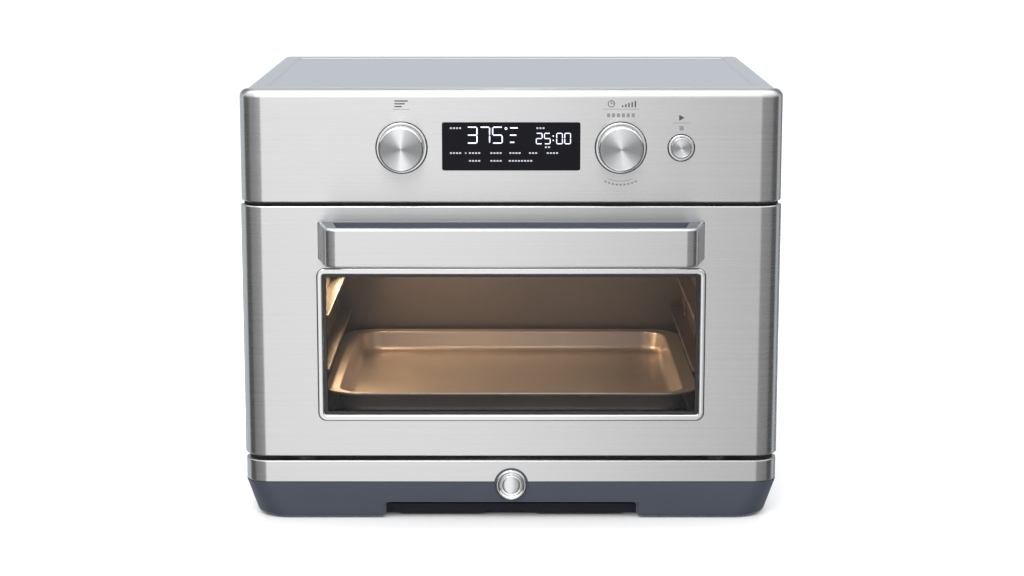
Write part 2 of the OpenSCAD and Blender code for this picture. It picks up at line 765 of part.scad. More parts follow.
// A return spring, drawn as closed rings on two bars
module button_spring() from_face() color("silver") translate([button_x, plate_y - 0.55, control_z]) {
    for (i = [0 : 2]) translate([0, -1.5 * i, 0]) rotate([90, 0, 0]) rotate_extrude()
        translate([5, 0]) circle(0.5);
    for (side = [-1, 1]) rod_y(side * 5, [-3, 0], 0, 0.45);
}

module bezel(r) difference() {
    rod_y(0, [-bezel_out, -0.02], 0, r + bezel_gap + bezel_w);
    rod_y(0, [-bezel_out - 1, 1], 0, r + bezel_gap);
}

module control_bezels() from_face() color("silver") {
    knob_places() bezel(knob_d / 2);
    translate([button_x, 0, control_z]) bezel(button_d / 2);
}

// A knob with a blind bore, its open end at the panel
module knob(tip) difference() {
    union() {
        rod_y(0, [-knob_out + 2, -4], 0, knob_d / 2);
        translate([0, -knob_out, 0]) rotate([-90, 0, 0])
            cylinder(r1 = knob_d / 2 - 2, r2 = knob_d / 2, h = 2.01);
        rod_y(0, [-4.01, -tip], 0, knob_d / 2 - 2);
    }
    rod_y(0, [-knob_out + 5, 1], 0, shaft_r + snug);
}

module mode_knob() from_face() color("silver") translate([-knob_x, 0, control_z]) knob(1.4);

module mode_shaft() from_face() color("gainsboro")
    rod_y(-knob_x, [-knob_out + 5.02, shaft_tip], control_z, shaft_r);

module temp_knob() from_face() color("silver") translate([knob_x, 0, control_z]) knob(1.4);

module temp_shaft() from_face() color("gainsboro")
    rod_y(knob_x, [-knob_out + 5.02, shaft_tip], control_z, shaft_r);

module select_plunger() from_face() color("white")
    rod_y(knob_x, [shaft_tip + 0.02, board_y - 0.6 - select_travel], control_z, shaft_r);

module start_button() from_face() color("silver") {
    rod_y(button_x, [-button_out, sheet + 0.8], control_z, button_d / 2);
    rod_y(button_x, [sheet, stem_tip], control_z, 3);
}

module power_board() from_face() color("darkgreen") {
    x0 = -body_w / 2 + 20;
    y0 = fan_y - 30;
    z = divider_top + 8;
    translate([x0, y0, 0]) {
        slab([0, 76], [0, 120], [z, z + board_t]);
        for (x = [5, 71], y = [5, 115]) rod_z(x, y, [divider_top + 0.02, z], 3);
        slab([6, 36], [10, 46], [z + board_t, z + 28]);
        for (i = [0 : 2]) slab([10, 26], [56 + 20 * i, 68 + 20 * i], [z + board_t, z + 17]);
        rod_z(56, 30, [z + board_t, z + 24], 9);
        rod_z(56, 60, [z + board_t, z + 18], 6);
        slab([44, 68], [80, 108], [z + board_t, z + 14]);
    }
}

// ---- door ----

module door_seal() from_face() color("dimgray") {
    y = [door_d + gap, frame_y - 0.02];
    half = cavity_x + 8;
    both_sides() slab([half - 5, half], y, [inner_z + 8, ceiling_z + 6]);
    wide(2 * half, y, [ceiling_z + 1, ceiling_z + 6]);
}

// A hinge bracket, or the arm beside it, around the hinge axis
module hinge_leaf(x, y, hole) difference() {
    union() {
        rod_x(x, hinge_in, hinge_z, nose_r);
        slab(x, [hinge_in, y], [hinge_z - 3.4, hinge_z + 3.4]);
    }
    rod_x([x[0] - 1, x[1] + 1], hinge_in, hinge_z, hole);
}

module hinge_brackets() from_face() color(dark_steel) both_sides() {
    x = [hinge_x - 4 - hinge_t, hinge_x - 4];
    hinge_leaf(x, frame_y - 0.02, pin_r + snug);
    slab([x[0] - 10, x[1]], [frame_y - 1.22, frame_y - 0.02], [hinge_z - 9, hinge_z + 3.4]);
}

module hinge_pins() from_face() color("silver") both_sides()
    rod_x([hinge_x - 4 - hinge_t, hinge_x + 1.5], hinge_in, hinge_z, pin_r);

module hinge_arms() from_face() color("silver") both_sides() difference() {
    x = [hinge_x - 4 + gap, hinge_x - 4 + gap + hinge_t];
    union() {
        rod_x(x, hinge_in, hinge_z, nose_r);
        slab(x, [hinge_in - nose_r, hinge_in + nose_r], [hinge_z, inner_z - 0.02]);
        slab([x[0], x[0] + 14], [sheet + 1, door_d - 3], [inner_z - 1.02, inner_z - 0.02]);
    }
    rod_x([x[0] - 1, x[1] + 1], hinge_in, hinge_z, pin_r + running);
}

module window_outline(grow, r) round_rect([-window_w / 2 - grow, window_w / 2 + grow],
    [window_z - grow, window_z + window_h + grow], r);

// Each of the two screws that hold the handle
module handle_screw_places()
    for (side = [-1, 1]) translate([side * (handle_x - post_t / 2 - 3), 0, handle_z + handle_h / 2]) children();

module door_skin() from_face() color(steel) difference() {
    translate([0, 0, door_z]) linear_extrude(door_top - door_z) front_plan(door_w, door_d, door_r);
    translate([0, sheet, door_z + sheet]) linear_extrude(door_top - door_z - 2 * sheet)
        front_plan(door_w - 2 * sheet, door_d, door_r - sheet);
    along_y([-1, sheet + 1]) window_outline(-trim_lap, 5);
    handle_screw_places() rod_y(0, [-1, sheet + 1], 0, 2.2);
    both_sides() slab([hinge_x - 18 - hinge_t, hinge_x + 12], [sheet + 0.2, door_d + 1],
        [door_z - 1, door_z + sheet + 1]);
}

module door_inner_frame() from_face() color("gainsboro") difference() {
    x = [-inner_w_door / 2, inner_w_door / 2];
    plate(x, [inner_z, inner_top], [sheet + 0.02, door_d], 5);
    plate([x[0] + sheet, x[1] - sheet], [inner_z + sheet, inner_top - sheet], [0, door_d - plate_t], 4);
    along_y([0, door_d + 1]) window_outline(-window_trim_w - 2, 6);
}

module door_glass() from_face() color("lightcyan")
    along_y([glass_y, glass_y + glass_t]) window_outline(glass_lap, 6);

// A clip that presses the glass forward: foot, riser and finger
module glass_clip() {
    glass = glass_y + glass_t;
    slab([gap, 8], [sheet + 0.02, sheet + 1.02], [-5, 5]);
    slab([gap, 1 + gap], [sheet + 0.02, glass + 1.05], [-5, 5]);
    slab([-4, 1 + gap], [glass + 0.05, glass + 1.05], [-5, 5]);
}

module glass_clips() from_face() color("silver") {
    mid_z = window_z + window_h / 2;
    both_sides() for (z = [mid_z - window_h / 4, mid_z + window_h / 4])
        translate([window_w / 2 + glass_lap, 0, z]) glass_clip();
    for (x = [-window_w / 4, window_w / 4])
        translate([x, 0, window_z + window_h + glass_lap]) rotate([0, -90, 0]) glass_clip();
}

module window_trim() from_face() color("silver") difference() {
    union() {
        along_y([-trim_out, -0.02]) window_outline(0, 6.5);
        along_y([-0.03, glass_y - 0.02]) window_outline(-trim_lap - 0.1, 4.8);
    }
    along_y([-2, 4]) window_outline(-window_trim_w, 3);
}

// The handle's plan, drawn in by the given distance: a bar with two leaning ends
module handle_plan(inset) {
    front = handle_out - inset;
    lean = handle_lean * (1 - inset / handle_out);
    half = handle_x - inset;
    r = handle_r - inset;
    corner = half - lean - r;
    polygon([
        [-half, 0], for (i = [0 : 6]) [-corner - r * cos(15 * i), -front + r - r * sin(15 * i)],
        for (i = [6 : -1 : 0]) [corner + r * cos(15 * i), -front + r - r * sin(15 * i)], [half, 0]
    ]);
}

// The finger gap between the bar and the plate on the door
module finger_plan() {
    half = handle_x - post_t;
    lean = handle_lean * 0.62;
    polygon([
        [-half, -handle_plate], [-half + lean, -handle_out + handle_t],
        [half - lean, -handle_out + handle_t], [half, -handle_plate]
    ]);
}

// The strip of the handle's plan next to the door
module door_strip(depth) intersection() {
    handle_plan(0);
    translate([-handle_x, -depth]) square([2 * handle_x, depth]);
}

module handle_bar() from_face() color(steel)
    translate([0, 0, handle_z]) linear_extrude(handle_h) difference() {
        handle_plan(0);
        handle_plan(handle_skin);
        finger_plan();
        door_strip(handle_plate + snug);
    }

module handle_liner() from_face() color(slate) difference() {
    translate([0, 0, handle_z + 0.4]) linear_extrude(handle_h - 0.8) difference() {
        union() {
            handle_plan(handle_skin + snug);
            door_strip(handle_plate);
        }
        finger_plan();
    }
    handle_screw_places() rod_y(0, [-14, 1], 0, 1.9 + snug);
}

module handle_screws() from_face() color("silver") handle_screw_places() {
    rod_y(0, [-13, sheet + 0.02], 0, 1.9);
    rod_y(0, [sheet + 0.02, sheet + 2.8], 0, 4);
}

// ---- rack, pan ----

module wire_rack() from_face() color("silver") {
    r = rack_wire / 2;
    z = rack_z + r;
    both_sides() rod_y(rack_x - r, rack_y, z, r);
    for (y = [rack_y[0] + r, rack_y[1] - r]) rod_x([-rack_x + r, rack_x - r], y, z, r);
    for (i = [1 : rack_wires])
        rod_y(-rack_x + r + i * 2 * (rack_x - r) / (rack_wires + 1), [rack_y[0] + r, rack_y[1] - r],
            rack_top - 1.25, 1.25);
}

module baking_pan() from_face() color([0.62, 0.56, 0.48]) {
    z = rack_top + 0.05;
    wall_x = pan_x - pan_rim;
    wall_y = [pan_y[0] + pan_end, pan_y[1] - pan_end];
    wall_r = pan_r - pan_end;
    difference() {
        union() {
            translate([0, 0, z + pan_h - pan_sheet]) linear_extrude(pan_sheet)
                round_rect([-pan_x, pan_x], pan_y, pan_r);
            translate([0, 0, z]) linear_extrude(pan_h) round_rect([-wall_x, wall_x], wall_y, wall_r);
        }
        translate([0, 0, z + pan_sheet]) linear_extrude(pan_h)
            round_rect([-wall_x + pan_sheet, wall_x - pan_sheet],
                [wall_y[0] + pan_sheet, wall_y[1] - pan_sheet], wall_r - pan_sheet);
    }
}

outer_case();
back_panel();
case_screws();
cord_inlet();
base_skirt();
base_pan();
rubber_feet();
lower_trim();
badge();
front_frame();
cavity_liner();
rack_guides();
upper_heaters();
lower_heaters();
heater_insulators();
fan_cover();
fan_housing();
motor_bracket();
fan_motor();
lamp_holder();
lamp_bulb();
lamp_lens();
temperature_probe();
insulation();
divider_panel();
crumb_chute();
tray_runners();
control_fascia();
control_housing();
display_window();
control_board();
encoders();
start_switch();
button_spring();
control_bezels();
power_board();
door_seal();
hinge_brackets();
hinge_pins();
door_skin();
door_inner_frame();
door_glass();
glass_clips();
window_trim();
handle_bar();
handle_liner();
handle_screws();
hinge_arms();
wire_rack();
baking_pan();
crumb_tray();
mode_knob();
mode_shaft();
temp_knob();
temp_shaft();
select_plunger();
start_button();
fan_shaft();
fan_impeller();
cooling_fan();
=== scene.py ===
"""Looks of a counter-top toaster oven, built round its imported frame.

Each new piece is a surface worked out with numpy: an outline with round corners carried along
a profile, a profile turned round an axis, or a wire carried along a path. Lengths are metres.
"""

import json
import math

import bmesh
import bpy
import numpy as np
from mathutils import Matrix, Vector, geometry


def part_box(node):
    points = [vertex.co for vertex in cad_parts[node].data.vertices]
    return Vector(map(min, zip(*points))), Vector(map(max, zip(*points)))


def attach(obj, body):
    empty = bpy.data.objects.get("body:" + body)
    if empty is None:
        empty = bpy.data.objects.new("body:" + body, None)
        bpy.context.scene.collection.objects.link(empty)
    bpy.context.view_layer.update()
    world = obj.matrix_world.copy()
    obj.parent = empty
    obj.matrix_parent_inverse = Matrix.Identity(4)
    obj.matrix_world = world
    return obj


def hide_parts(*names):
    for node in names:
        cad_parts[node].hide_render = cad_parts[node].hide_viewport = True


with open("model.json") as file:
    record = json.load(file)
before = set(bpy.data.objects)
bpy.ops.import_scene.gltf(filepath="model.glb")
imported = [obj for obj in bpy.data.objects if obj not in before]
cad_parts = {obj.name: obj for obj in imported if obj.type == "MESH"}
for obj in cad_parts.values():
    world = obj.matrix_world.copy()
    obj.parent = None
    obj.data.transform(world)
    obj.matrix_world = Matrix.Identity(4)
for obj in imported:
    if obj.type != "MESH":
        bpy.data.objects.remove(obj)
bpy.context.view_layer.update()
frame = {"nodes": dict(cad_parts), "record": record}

MM = 0.001
SHARP = math.radians(32)
QUARTER = math.pi / 2


# ---------------------------------------------------------------- places

class Place:
    """Where a CAD node lies: its limits, its middle and its size."""

    def __init__(self, node):
        low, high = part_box(node)
        self.x0, self.y0, self.z0 = low
        self.x1, self.y1, self.z1 = high
        self.x, self.y, self.z = (low + high) / 2
        self.w, self.d, self.h = high - low

    def outline(self, grow, radius, steps):
        """Its outline from the front, grown by a length."""
        return rectangle(self.x0 - grow, self.x1 + grow, self.z0 - grow, self.z1 + grow, radius,
                         steps=steps)


# ---------------------------------------------------------------- surfaces

def corner_points(corners, moves):
    """Each corner after its two sides have moved inwards by the given lengths: the point that lies
    at those lengths from both sides, or straight in where the two sides are in line."""
    side = np.roll(corners, -1, 0) - corners
    side /= np.linalg.norm(side, axis=1)[:, None]
    inward = np.stack([-side[:, 1], side[:, 0]], 1)
    before = np.roll(inward, 1, 0)
    det = before[:, 0] * inward[:, 1] - before[:, 1] * inward[:, 0]
    level = np.abs(det) < 1e-6
    det = np.where(level, 1, det)
    a, b = moves
    dx = (a * inward[:, 1] - b * before[:, 1]) / det
    dy = (b * before[:, 0] - a * inward[:, 0]) / det
    straight = inward * b[:, None]
    return corners + np.where(level[:, None], straight, np.stack([dx, dy], 1))


class Outline:
    """A closed convex outline with round corners, anticlockwise. at(inset) draws it in: each
    corner is an arc about a centre that stays, until the inset is more than the radius. A corner
    in still keeps the side that follows it in place. splits gives, for a side, the distances from
    its first corner at which it has more points."""

    def __init__(self, corners, radii, steps=8, still=(), splits=None):
        self.corners = np.array(corners, float)
        self.radii = np.broadcast_to(np.array(radii, float), (len(corners),)).copy()
        self.steps = steps
        self.moving = np.array([i not in still for i in range(len(corners))], float)
        self.splits = splits or {}

    def at(self, inset=0.0):
        count = len(self.corners)
        side = np.roll(self.corners, -1, 0) - self.corners
        out = np.arctan2(-side[:, 0], side[:, 1])
        before = np.roll(out, 1)
        turn = (out - before) % (2 * math.pi)
        reach = np.maximum(self.radii, inset)
        centre = corner_points(self.corners, (reach * np.roll(self.moving, 1), reach * self.moving))
        radius = np.maximum(self.radii - inset, 0)
        arcs = []
        for i in range(count):
            steps = self.steps if self.radii[i] > 0 else 0
            angle = before[i] + turn[i] * (np.linspace(0, 1, steps + 1) if steps else np.array([0.5]))
            arcs.append(centre[i] + radius[i] * np.stack([np.cos(angle), np.sin(angle)], 1))
        points = []
        for i in range(count):
            points.append(arcs[i])
            if i in self.splits:
                a, b = arcs[i][-1], arcs[(i + 1) % count][0]
                run = np.linalg.norm(b - a)
                start = (a - self.corners[i]) @ (b - a) / run
                share = (np.array(self.splits[i]) - start) / run
                points.append(a + np.clip(share, 0, 1)[:, None] * (b - a))
        return np.concatenate(points)


def rectangle(a0, a1, b0, b1, radius, **more):
    """An outline with four round corners, by its limits."""
    return Outline([(a0, b0), (a1, b0), (a1, b1), (a0, b1)], radius, **more)


def circle(x, z, radius, steps):
    """A round outline."""
    return rectangle(x - radius, x + radius, z - radius, z + radius, radius, steps=steps)


def offsets(x, y, *steps):
    """Points of a profile: each lies by its steps, in millimetres, from the point (x, y)."""
    return [(x + across * MM, y + along * MM) for across, along in steps]


def arc(x, y, wide, tall, low, high, count):
    """Points on a round or oval arc about (x, y), from one angle to another."""
    return [(x + wide * math.cos(t), y + tall * math.sin(t)) for t in np.linspace(low, high, count)]


def plan(ring, height):
    """An outline seen from above, at its height."""
    return np.column_stack([ring, np.full(len(ring), height)])


def front(ring, y):
    """An outline seen from the front, at its depth."""
    return np.column_stack([ring[:, 0], np.full(len(ring), y), ring[:, 1]])


def grid(rings, around=True, start=False, end=False):
    """A surface through rings of points, all with the same count, closed round each ring if
    asked, with a flat face on its first and last ring if asked."""
    rings = np.asarray(rings)
    rows, columns = rings.shape[:2]
    index = np.arange(rows * columns).reshape(rows, columns)
    right = np.roll(index, -1, 1) if around else index[:, 1:]
    left = index if around else index[:, :-1]
    quads = np.stack([left[:-1], right[:-1], right[1:], left[1:]], -1).reshape(-1, 4)
    faces = quads.tolist()
    if start:
        faces.append(index[0][::-1].tolist())
    if end:
        faces.append(index[-1].tolist())
    return rings.reshape(-1, 3), faces


def loft(outline, profile, lay=plan, **more):
    """An outline carried along a profile of (inset, height) pairs."""
    return grid([lay(outline.at(inset), height) for inset, height in profile], **more)


def turned(profile, centre, axis="y", count=96, **more):
    """A profile of (radius, distance) pairs turned round an axis through the centre. A distance
    grows towards the front for y, towards the right for x, and upwards for z."""
    angle = np.arange(count) * 2 * math.pi / count
    radius, out = np.array(profile, float).T[:, :, None]
    along = "xyz".index(axis)
    across, up = [i for i in range(3) if i != along]
    rings = np.empty((len(profile), count, 3))
    rings[..., across], rings[..., up] = radius * np.cos(angle), radius * np.sin(angle)
    rings[..., along] = -out if axis == "y" else out
    return grid(rings + np.array(centre), **more)


def wire(path, radius, sides=12, closed=False):
    """A round wire: a circle carried along a path, square to the path's direction at each point."""
    path = np.array(path, float)
    if closed:
        ahead = np.roll(path, -1, 0) - np.roll(path, 1, 0)
    else:
        ahead = np.gradient(path, axis=0)
    ahead /= np.linalg.norm(ahead, axis=1)[:, None]
    guide = np.array([0, 0, 1.0]) if np.abs(ahead[:, 2]).max() < 0.9 else np.array([0, 1.0, 0])
    across = np.cross(ahead, guide)
    across /= np.linalg.norm(across, axis=1)[:, None]
    up = np.cross(across, ahead)
    angle = np.arange(sides) * 2 * math.pi / sides
    angle = angle[None, :, None]
    rings = path[:, None] + radius * (np.cos(angle) * across[:, None] + np.sin(angle) * up[:, None])
    if closed:
        rings = np.concatenate([rings, rings[:1]])
    return grid(rings, start=not closed, end=not closed)


def block(x, y, z, round_by, steps=3):
    """A block between limits along each axis, with every edge rounded."""
    outline = rectangle(x[0], x[1], y[0], y[1], round_by, steps=steps)
    return loft(outline, pill(z[0], z[1], round_by, steps), start=True, end=True)


def pill(low, high, radius, steps=4):
    """A profile that goes straight up between two quarter rounds."""
    turn = np.linspace(0, QUARTER, steps + 1)
    foot = np.stack([radius * (1 - np.sin(turn)), low + radius * (1 - np.cos(turn))], 1)
    head = np.stack([radius * (1 - np.cos(turn)), high - radius * (1 - np.sin(turn))], 1)
    return np.concatenate([foot, head])


def between(*values):
    """All the values in order, without repeats: places for the lines of a grid."""
    return np.unique(np.round(np.concatenate([np.ravel(value) for value in values]), 6))


def cut(patch, *boxes):
    """The patch without the faces whose middle lies in one of the boxes."""
    points, faces = patch
    keep = []
    for face in faces:
        middle = points[face].mean(0)
        if not any((middle > low).all() and (middle < high).all() for low, high in boxes):
            keep.append(face)
    return points, keep


def filled(loops, up):
    """A flat face inside the first loop and outside the others, in triangles."""
    points = np.concatenate(loops)
    faces = []
    for a, b, c in geometry.tessellate_polygon([[Vector(p) for p in loop] for loop in loops]):
        normal = np.cross(points[b] - points[a], points[c] - points[a])[2]
        faces.append([a, b, c] if (normal > 0) == up else [c, b, a])
    return points, faces


def flipped(patch):
    """The patch with its faces turned the other way."""
    return patch[0], [face[::-1] for face in patch[1]]


def mirrored(patch):
    """The patch's image across the middle of the oven, facing outwards again."""
    return flipped((patch[0] * (-1, 1, 1), patch[1]))


def added(name, data):
    """A new object in the scene."""
    thing = bpy.data.objects.new(name, data)
    bpy.context.scene.collection.objects.link(thing)
    return thing


def piece(name, patches, body, slot=None, nodes=(), material=None, thickness=0.0, flats=True):
    """One object from its patches: merged, with true flat faces beside the round ones, and with
    a wall of the given thickness inside it. Its finish is its slot's, unless another is given."""
    mesh = bpy.data.meshes.new(name)
    points, faces, base = [], [], 0
    for patch_points, patch_faces in patches:
        points.append(patch_points)
        faces += [[base + i for i in face] for face in patch_faces]
        base += len(patch_points)
    mesh.from_pydata(np.concatenate(points).tolist(), [], faces)
    work = bmesh.new()
    work.from_mesh(mesh)
    bmesh.ops.remove_doubles(work, verts=work.verts, dist=2e-6)
    bmesh.ops.dissolve_degenerate(work, edges=work.edges, dist=1e-6)
    loose = [v for v in work.verts if not v.link_faces]
    bmesh.ops.delete(work, geom=loose, context="VERTS")
    work.to_mesh(mesh)
    work.free()
    mesh.shade_smooth()
    mesh.set_sharp_from_angle(angle=SHARP)
    mesh.materials.append(material or finish(slot))
    thing = added(name, mesh)
    if thickness:
        wall = thing.modifiers.new("wall", "SOLIDIFY")
        wall.thickness = thickness
        wall.offset = -1
        split = thing.modifiers.new("rims", "EDGE_SPLIT")
        split.split_angle = SHARP
    if flats:
        weigh = thing.modifiers.new("flats", "WEIGHTED_NORMAL")
        weigh.keep_sharp = True
        weigh.weight = 100
    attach(thing, body)
    if nodes:
        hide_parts(*nodes)


# ---------------------------------------------------------------- shaders

def plug(tree, socket, value):
    """Links a value to a socket, or sets the socket to a number or a colour."""
    if isinstance(value, Value):
        tree.links.new(value.socket, socket)
    elif isinstance(value, tuple) and len(value) == 3 and socket.type == "RGBA":
        socket.default_value = (*value, 1)
    else:
        socket.default_value = value


class Value:
    """A node's output, on which arithmetic adds Math nodes."""

    def __init__(self, tree, socket):
        self.tree, self.socket = tree, socket

    def math(self, operation, *others, swap=False, clamp=False):
        node = self.tree.nodes.new("ShaderNodeMath")
        node.operation = operation
        node.use_clamp = clamp
        values = (*others, self) if swap else (self, *others)
        for socket, value in zip(node.inputs, values):
            plug(self.tree, socket, value)
        return Value(self.tree, node.outputs[0])

    def __add__(self, other):
        return self.math("ADD", other)

    def __sub__(self, other):
        return self.math("SUBTRACT", other)

    def __rsub__(self, other):
        return self.math("SUBTRACT", other, swap=True)

    def __mul__(self, other):
        return self.math("MULTIPLY", other)

    __radd__ = __add__
    __rmul__ = __mul__

    def over(self, edge, soft):
        """0 below the edge and 1 above it, over a soft step."""
        return (self - (edge - soft / 2)).math("DIVIDE", soft, clamp=True)


class Nodes:
    """A node tree, to which node() adds a node of any kind."""

    def __init__(self, tree):
        self.tree = tree

    def node(self, kind, settings=None, output=0, **values):
        """Settings come first, as they change the sockets. A ramp's stops are a setting."""
        node = self.tree.nodes.new("ShaderNode" + kind)
        for key, value in (settings or {}).items():
            if key == "stops":
                ramp = node.color_ramp.elements
                while len(ramp) < len(value):
                    ramp.new(0.5)
                for stop, (position, color) in zip(ramp, value):
                    stop.position, stop.color = position, (*color, 1)
            else:
                setattr(node, key, value)
        for key, value in values.items():
            plug(self.tree, node.inputs[key.replace("_", " ")], value)
        return Value(self.tree, node.outputs[output])

    def mix(self, share, a, b):
        """Colour a where the share is 0, and colour b where it is 1."""
        node = self.tree.nodes.new("ShaderNodeMix")
        node.data_type = "RGBA"
        for socket, value in ((node.inputs[0], share), (node.inputs[6], a), (node.inputs[7], b)):
            plug(self.tree, socket, value)
        return Value(self.tree, node.outputs[2])

    def part(self, vector, axis):
        return self.node("SeparateXYZ", output="XYZ".index(axis), Vector=vector)


class Finish(Nodes):
    """A material on one Principled shader."""

    def __init__(self, name, **constants):
        self.material = bpy.data.materials.new(name)
        self.material.use_nodes = True
        super().__init__(self.material.node_tree)
        self.shader = self.tree.nodes["Principled BSDF"]
        self.place = self.node("TexCoord", output=3)
        self.set(**constants)

    def set(self, **values):
        for key, value in values.items():
            plug(self.tree, self.shader.inputs[key.replace("_", " ")], value)
        return self

    def noise(self, scale, stretch=(1, 1, 1), detail=3.0, roughness=0.55):
        """Smooth noise from 0 to 1, with its cells squeezed along each axis by the stretch."""
        place = self.place
        if stretch != (1, 1, 1):
            place = self.node("Mapping", Vector=place, Scale=stretch)
        return self.node("TexNoise", Vector=place, Scale=scale, Detail=detail, Roughness=roughness)

    def vary(self, share, colors, roughness):
        """The colour and the roughness go from their first to their second value with the share."""
        low, high = roughness
        return self.set(Base_Color=self.mix(share, *colors), Roughness=share * (high - low) + low)

    def bump(self, height, strength, distance=0.0002):
        self.set(Normal=self.node("Bump", Height=height, Strength=strength, Distance=distance))
        return self


def shades(color, down, up):
    """A darker and a lighter shade of a colour."""
    return tuple(c * (1 - down) for c in color), tuple(min(c * (1 + up), 1) for c in color)


def brushed(name, color, roughness, spread, anisotropy=0.0, stretch=(12, 12, 1600)):
    """Brushed steel: long fine scratches that change the tone, the roughness and the relief,
    under broader faint streaks."""
    f = Finish(name, Metallic=1.0, Anisotropic=anisotropy, Anisotropic_Rotation=0.25)
    fine = f.noise(1.0, stretch, detail=4.0)
    broad = f.noise(1.0, tuple(s * (0.3 if s > 100 else 0.06) for s in stretch), detail=2.0)
    tone = fine * 0.5 + broad.over(0.5, 0.7) * 0.5
    f.vary(tone, shades(color, spread, spread), (roughness - 0.035, roughness + 0.035))
    return f.bump(fine, 0.12, 0.00004).material


def plain_metal(name, color, roughness):
    """Plain or plated metal with a faint mottled tone."""
    f = Finish(name, Metallic=1.0)
    f.vary(f.noise(60.0, detail=5.0), shades(color, 0.08, 0.08), (roughness - 0.1, roughness + 0.1))
    return f.bump(f.noise(900.0), 0.05, 0.00004).material


def moulded(name, color, roughness=0.5, grain=1500.0, depth=0.25):
    """Moulded plastic: a fine pebbled grain, with slight wear in the gloss."""
    f = Finish(name)
    f.vary(f.noise(25.0), shades(color, 0.08, 0.1), (roughness - 0.08, roughness + 0.08))
    return f.bump(f.noise(grain, detail=2.0), depth, 0.00006).material


def clouded(name, colors, roughness, scale, stretch=(1, 1, 1), detail=3.0, depth=0.0, distance=0.0002,
            **constants):
    """A finish whose tone, gloss and relief all follow one noise."""
    f = Finish(name, **constants)
    cloud = f.noise(scale, stretch, detail)
    f.vary(cloud, colors, roughness)
    return (f.bump(cloud, depth, distance) if depth else f).material


def glowing(name, color, strength, dim=None, scale=400.0, roughness=0.4):
    """Light from behind a printed mark or a frosted lens, a little uneven."""
    f = Finish(name, Roughness=roughness, Emission_Strength=strength)
    shade = f.mix(f.noise(scale), dim or shades(color, 0.15, 0)[0], color)
    return f.set(Base_Color=shade, Emission_Color=shade).material


def spangled(name, colors, roughness):
    """Zinc coat: grains of a slightly different grey."""
    f = Finish(name, Metallic=1.0)
    return f.vary(f.node("TexVoronoi", Vector=f.place, Scale=90.0), colors, roughness).material


def browned_steel_with_painted_shade(name):
    """Dull aluminised sheet, browned by heat in soft patches, with painted shade that darkens it towards
    the cavity's floor.
    """
    f = Finish(name, Metallic=1.0)
    patch = f.noise(9.0, detail=5.0)
    fine = f.noise(1.0, (40, 40, 900))
    cavity = Place("cavity_liner")
    # painted shade: the colour goes dark towards the cavity's floor, for the shade that falls there
    height = f.part(f.place, "Z").over(cavity.z0 + 0.45 * cavity.h, 0.9 * cavity.h)
    unshaded_tone = f.mix(patch, (0.36, 0.32, 0.29), (0.60, 0.54, 0.48))
    f.set(Base_Color=f.mix(height, (0.15, 0.12, 0.11), unshaded_tone))
    f.set(Roughness=patch * 0.15 + fine * 0.1 + 0.28)
    return f.bump(fine, 0.1, 0.00005).material


def spun(name, colors, roughness):
    """Spun face: grooves round the axis stretch each light into a wedge."""
    f = Finish(name, Metallic=1.0, Anisotropic=1.0, Anisotropic_Rotation=0.25)
    f.set(Tangent=f.node("Tangent", {"direction_type": "RADIAL", "axis": "Y"}))
    return f.vary(f.noise(300.0), colors, roughness).material


def tempered_glass(name):
    """Tempered pane: nearly clear, with a dark printed border along its edge."""
    f = Finish(name, Base_Color=(0.02, 0.022, 0.022), IOR=1.5)
    pane, margin, clear = Place("door_glass"), 10.2 * MM, 0.22
    x = f.part(f.place, "X").math("ABSOLUTE")
    z = (f.part(f.place, "Z") - pane.z).math("ABSOLUTE")
    past = (x - (pane.w / 2 - margin)).math("MAXIMUM", z - (pane.h / 2 - margin))
    smear = f.noise(14.0, detail=4.0)
    f.set(Alpha=past.over(0.0, 0.4 * MM) * (1 - clear) + clear, Roughness=smear * 0.04 + 0.02)
    return f.material


def non_stick(name):
    """Champagne non-stick coating: a fine metallic speckle under a soft gloss."""
    f = Finish(name, Metallic=0.75)
    speck = f.noise(2600.0, detail=2.0)
    cloud = f.noise(12.0, detail=4.0)
    f.set(Base_Color=f.mix(speck * 0.5 + cloud * 0.5, (0.50, 0.43, 0.37), (0.72, 0.64, 0.57)))
    f.set(Roughness=cloud * 0.14 + 0.3)
    return f.bump(speck, 0.12, 0.00005).material


def enamel(name):
    """Dark enamel with sparse paler specks."""
    f = Finish(name, Specular_IOR_Level=0.2)
    speck = f.noise(1200.0)
    f.set(Base_Color=f.mix(speck.over(0.7, 0.05), (0.016, 0.017, 0.026), (0.06, 0.06, 0.07)))
    f.set(Roughness=speck * 0.1 + 0.4)
    return f.bump(speck, 0.08).material


def circuit_board(name):
    """Green lacquer over a pattern of tracks."""
    f = Finish(name)
    upright = f.node("Mapping", Vector=f.place, Rotation=(math.pi / 2, 0, 0))
    tracks = f.node("TexBrick", Vector=upright, Scale=160.0, Color1=(0.0, 0.0, 0.0), Color2=(0.3, 0.3, 0.3),
                    Mortar=(1.0, 1.0, 1.0))
    f.set(Base_Color=f.mix(tracks, (0.01, 0.13, 0.06), (0.05, 0.27, 0.12)))
    return f.set(Roughness=f.noise(90.0) * 0.2 + 0.3).material


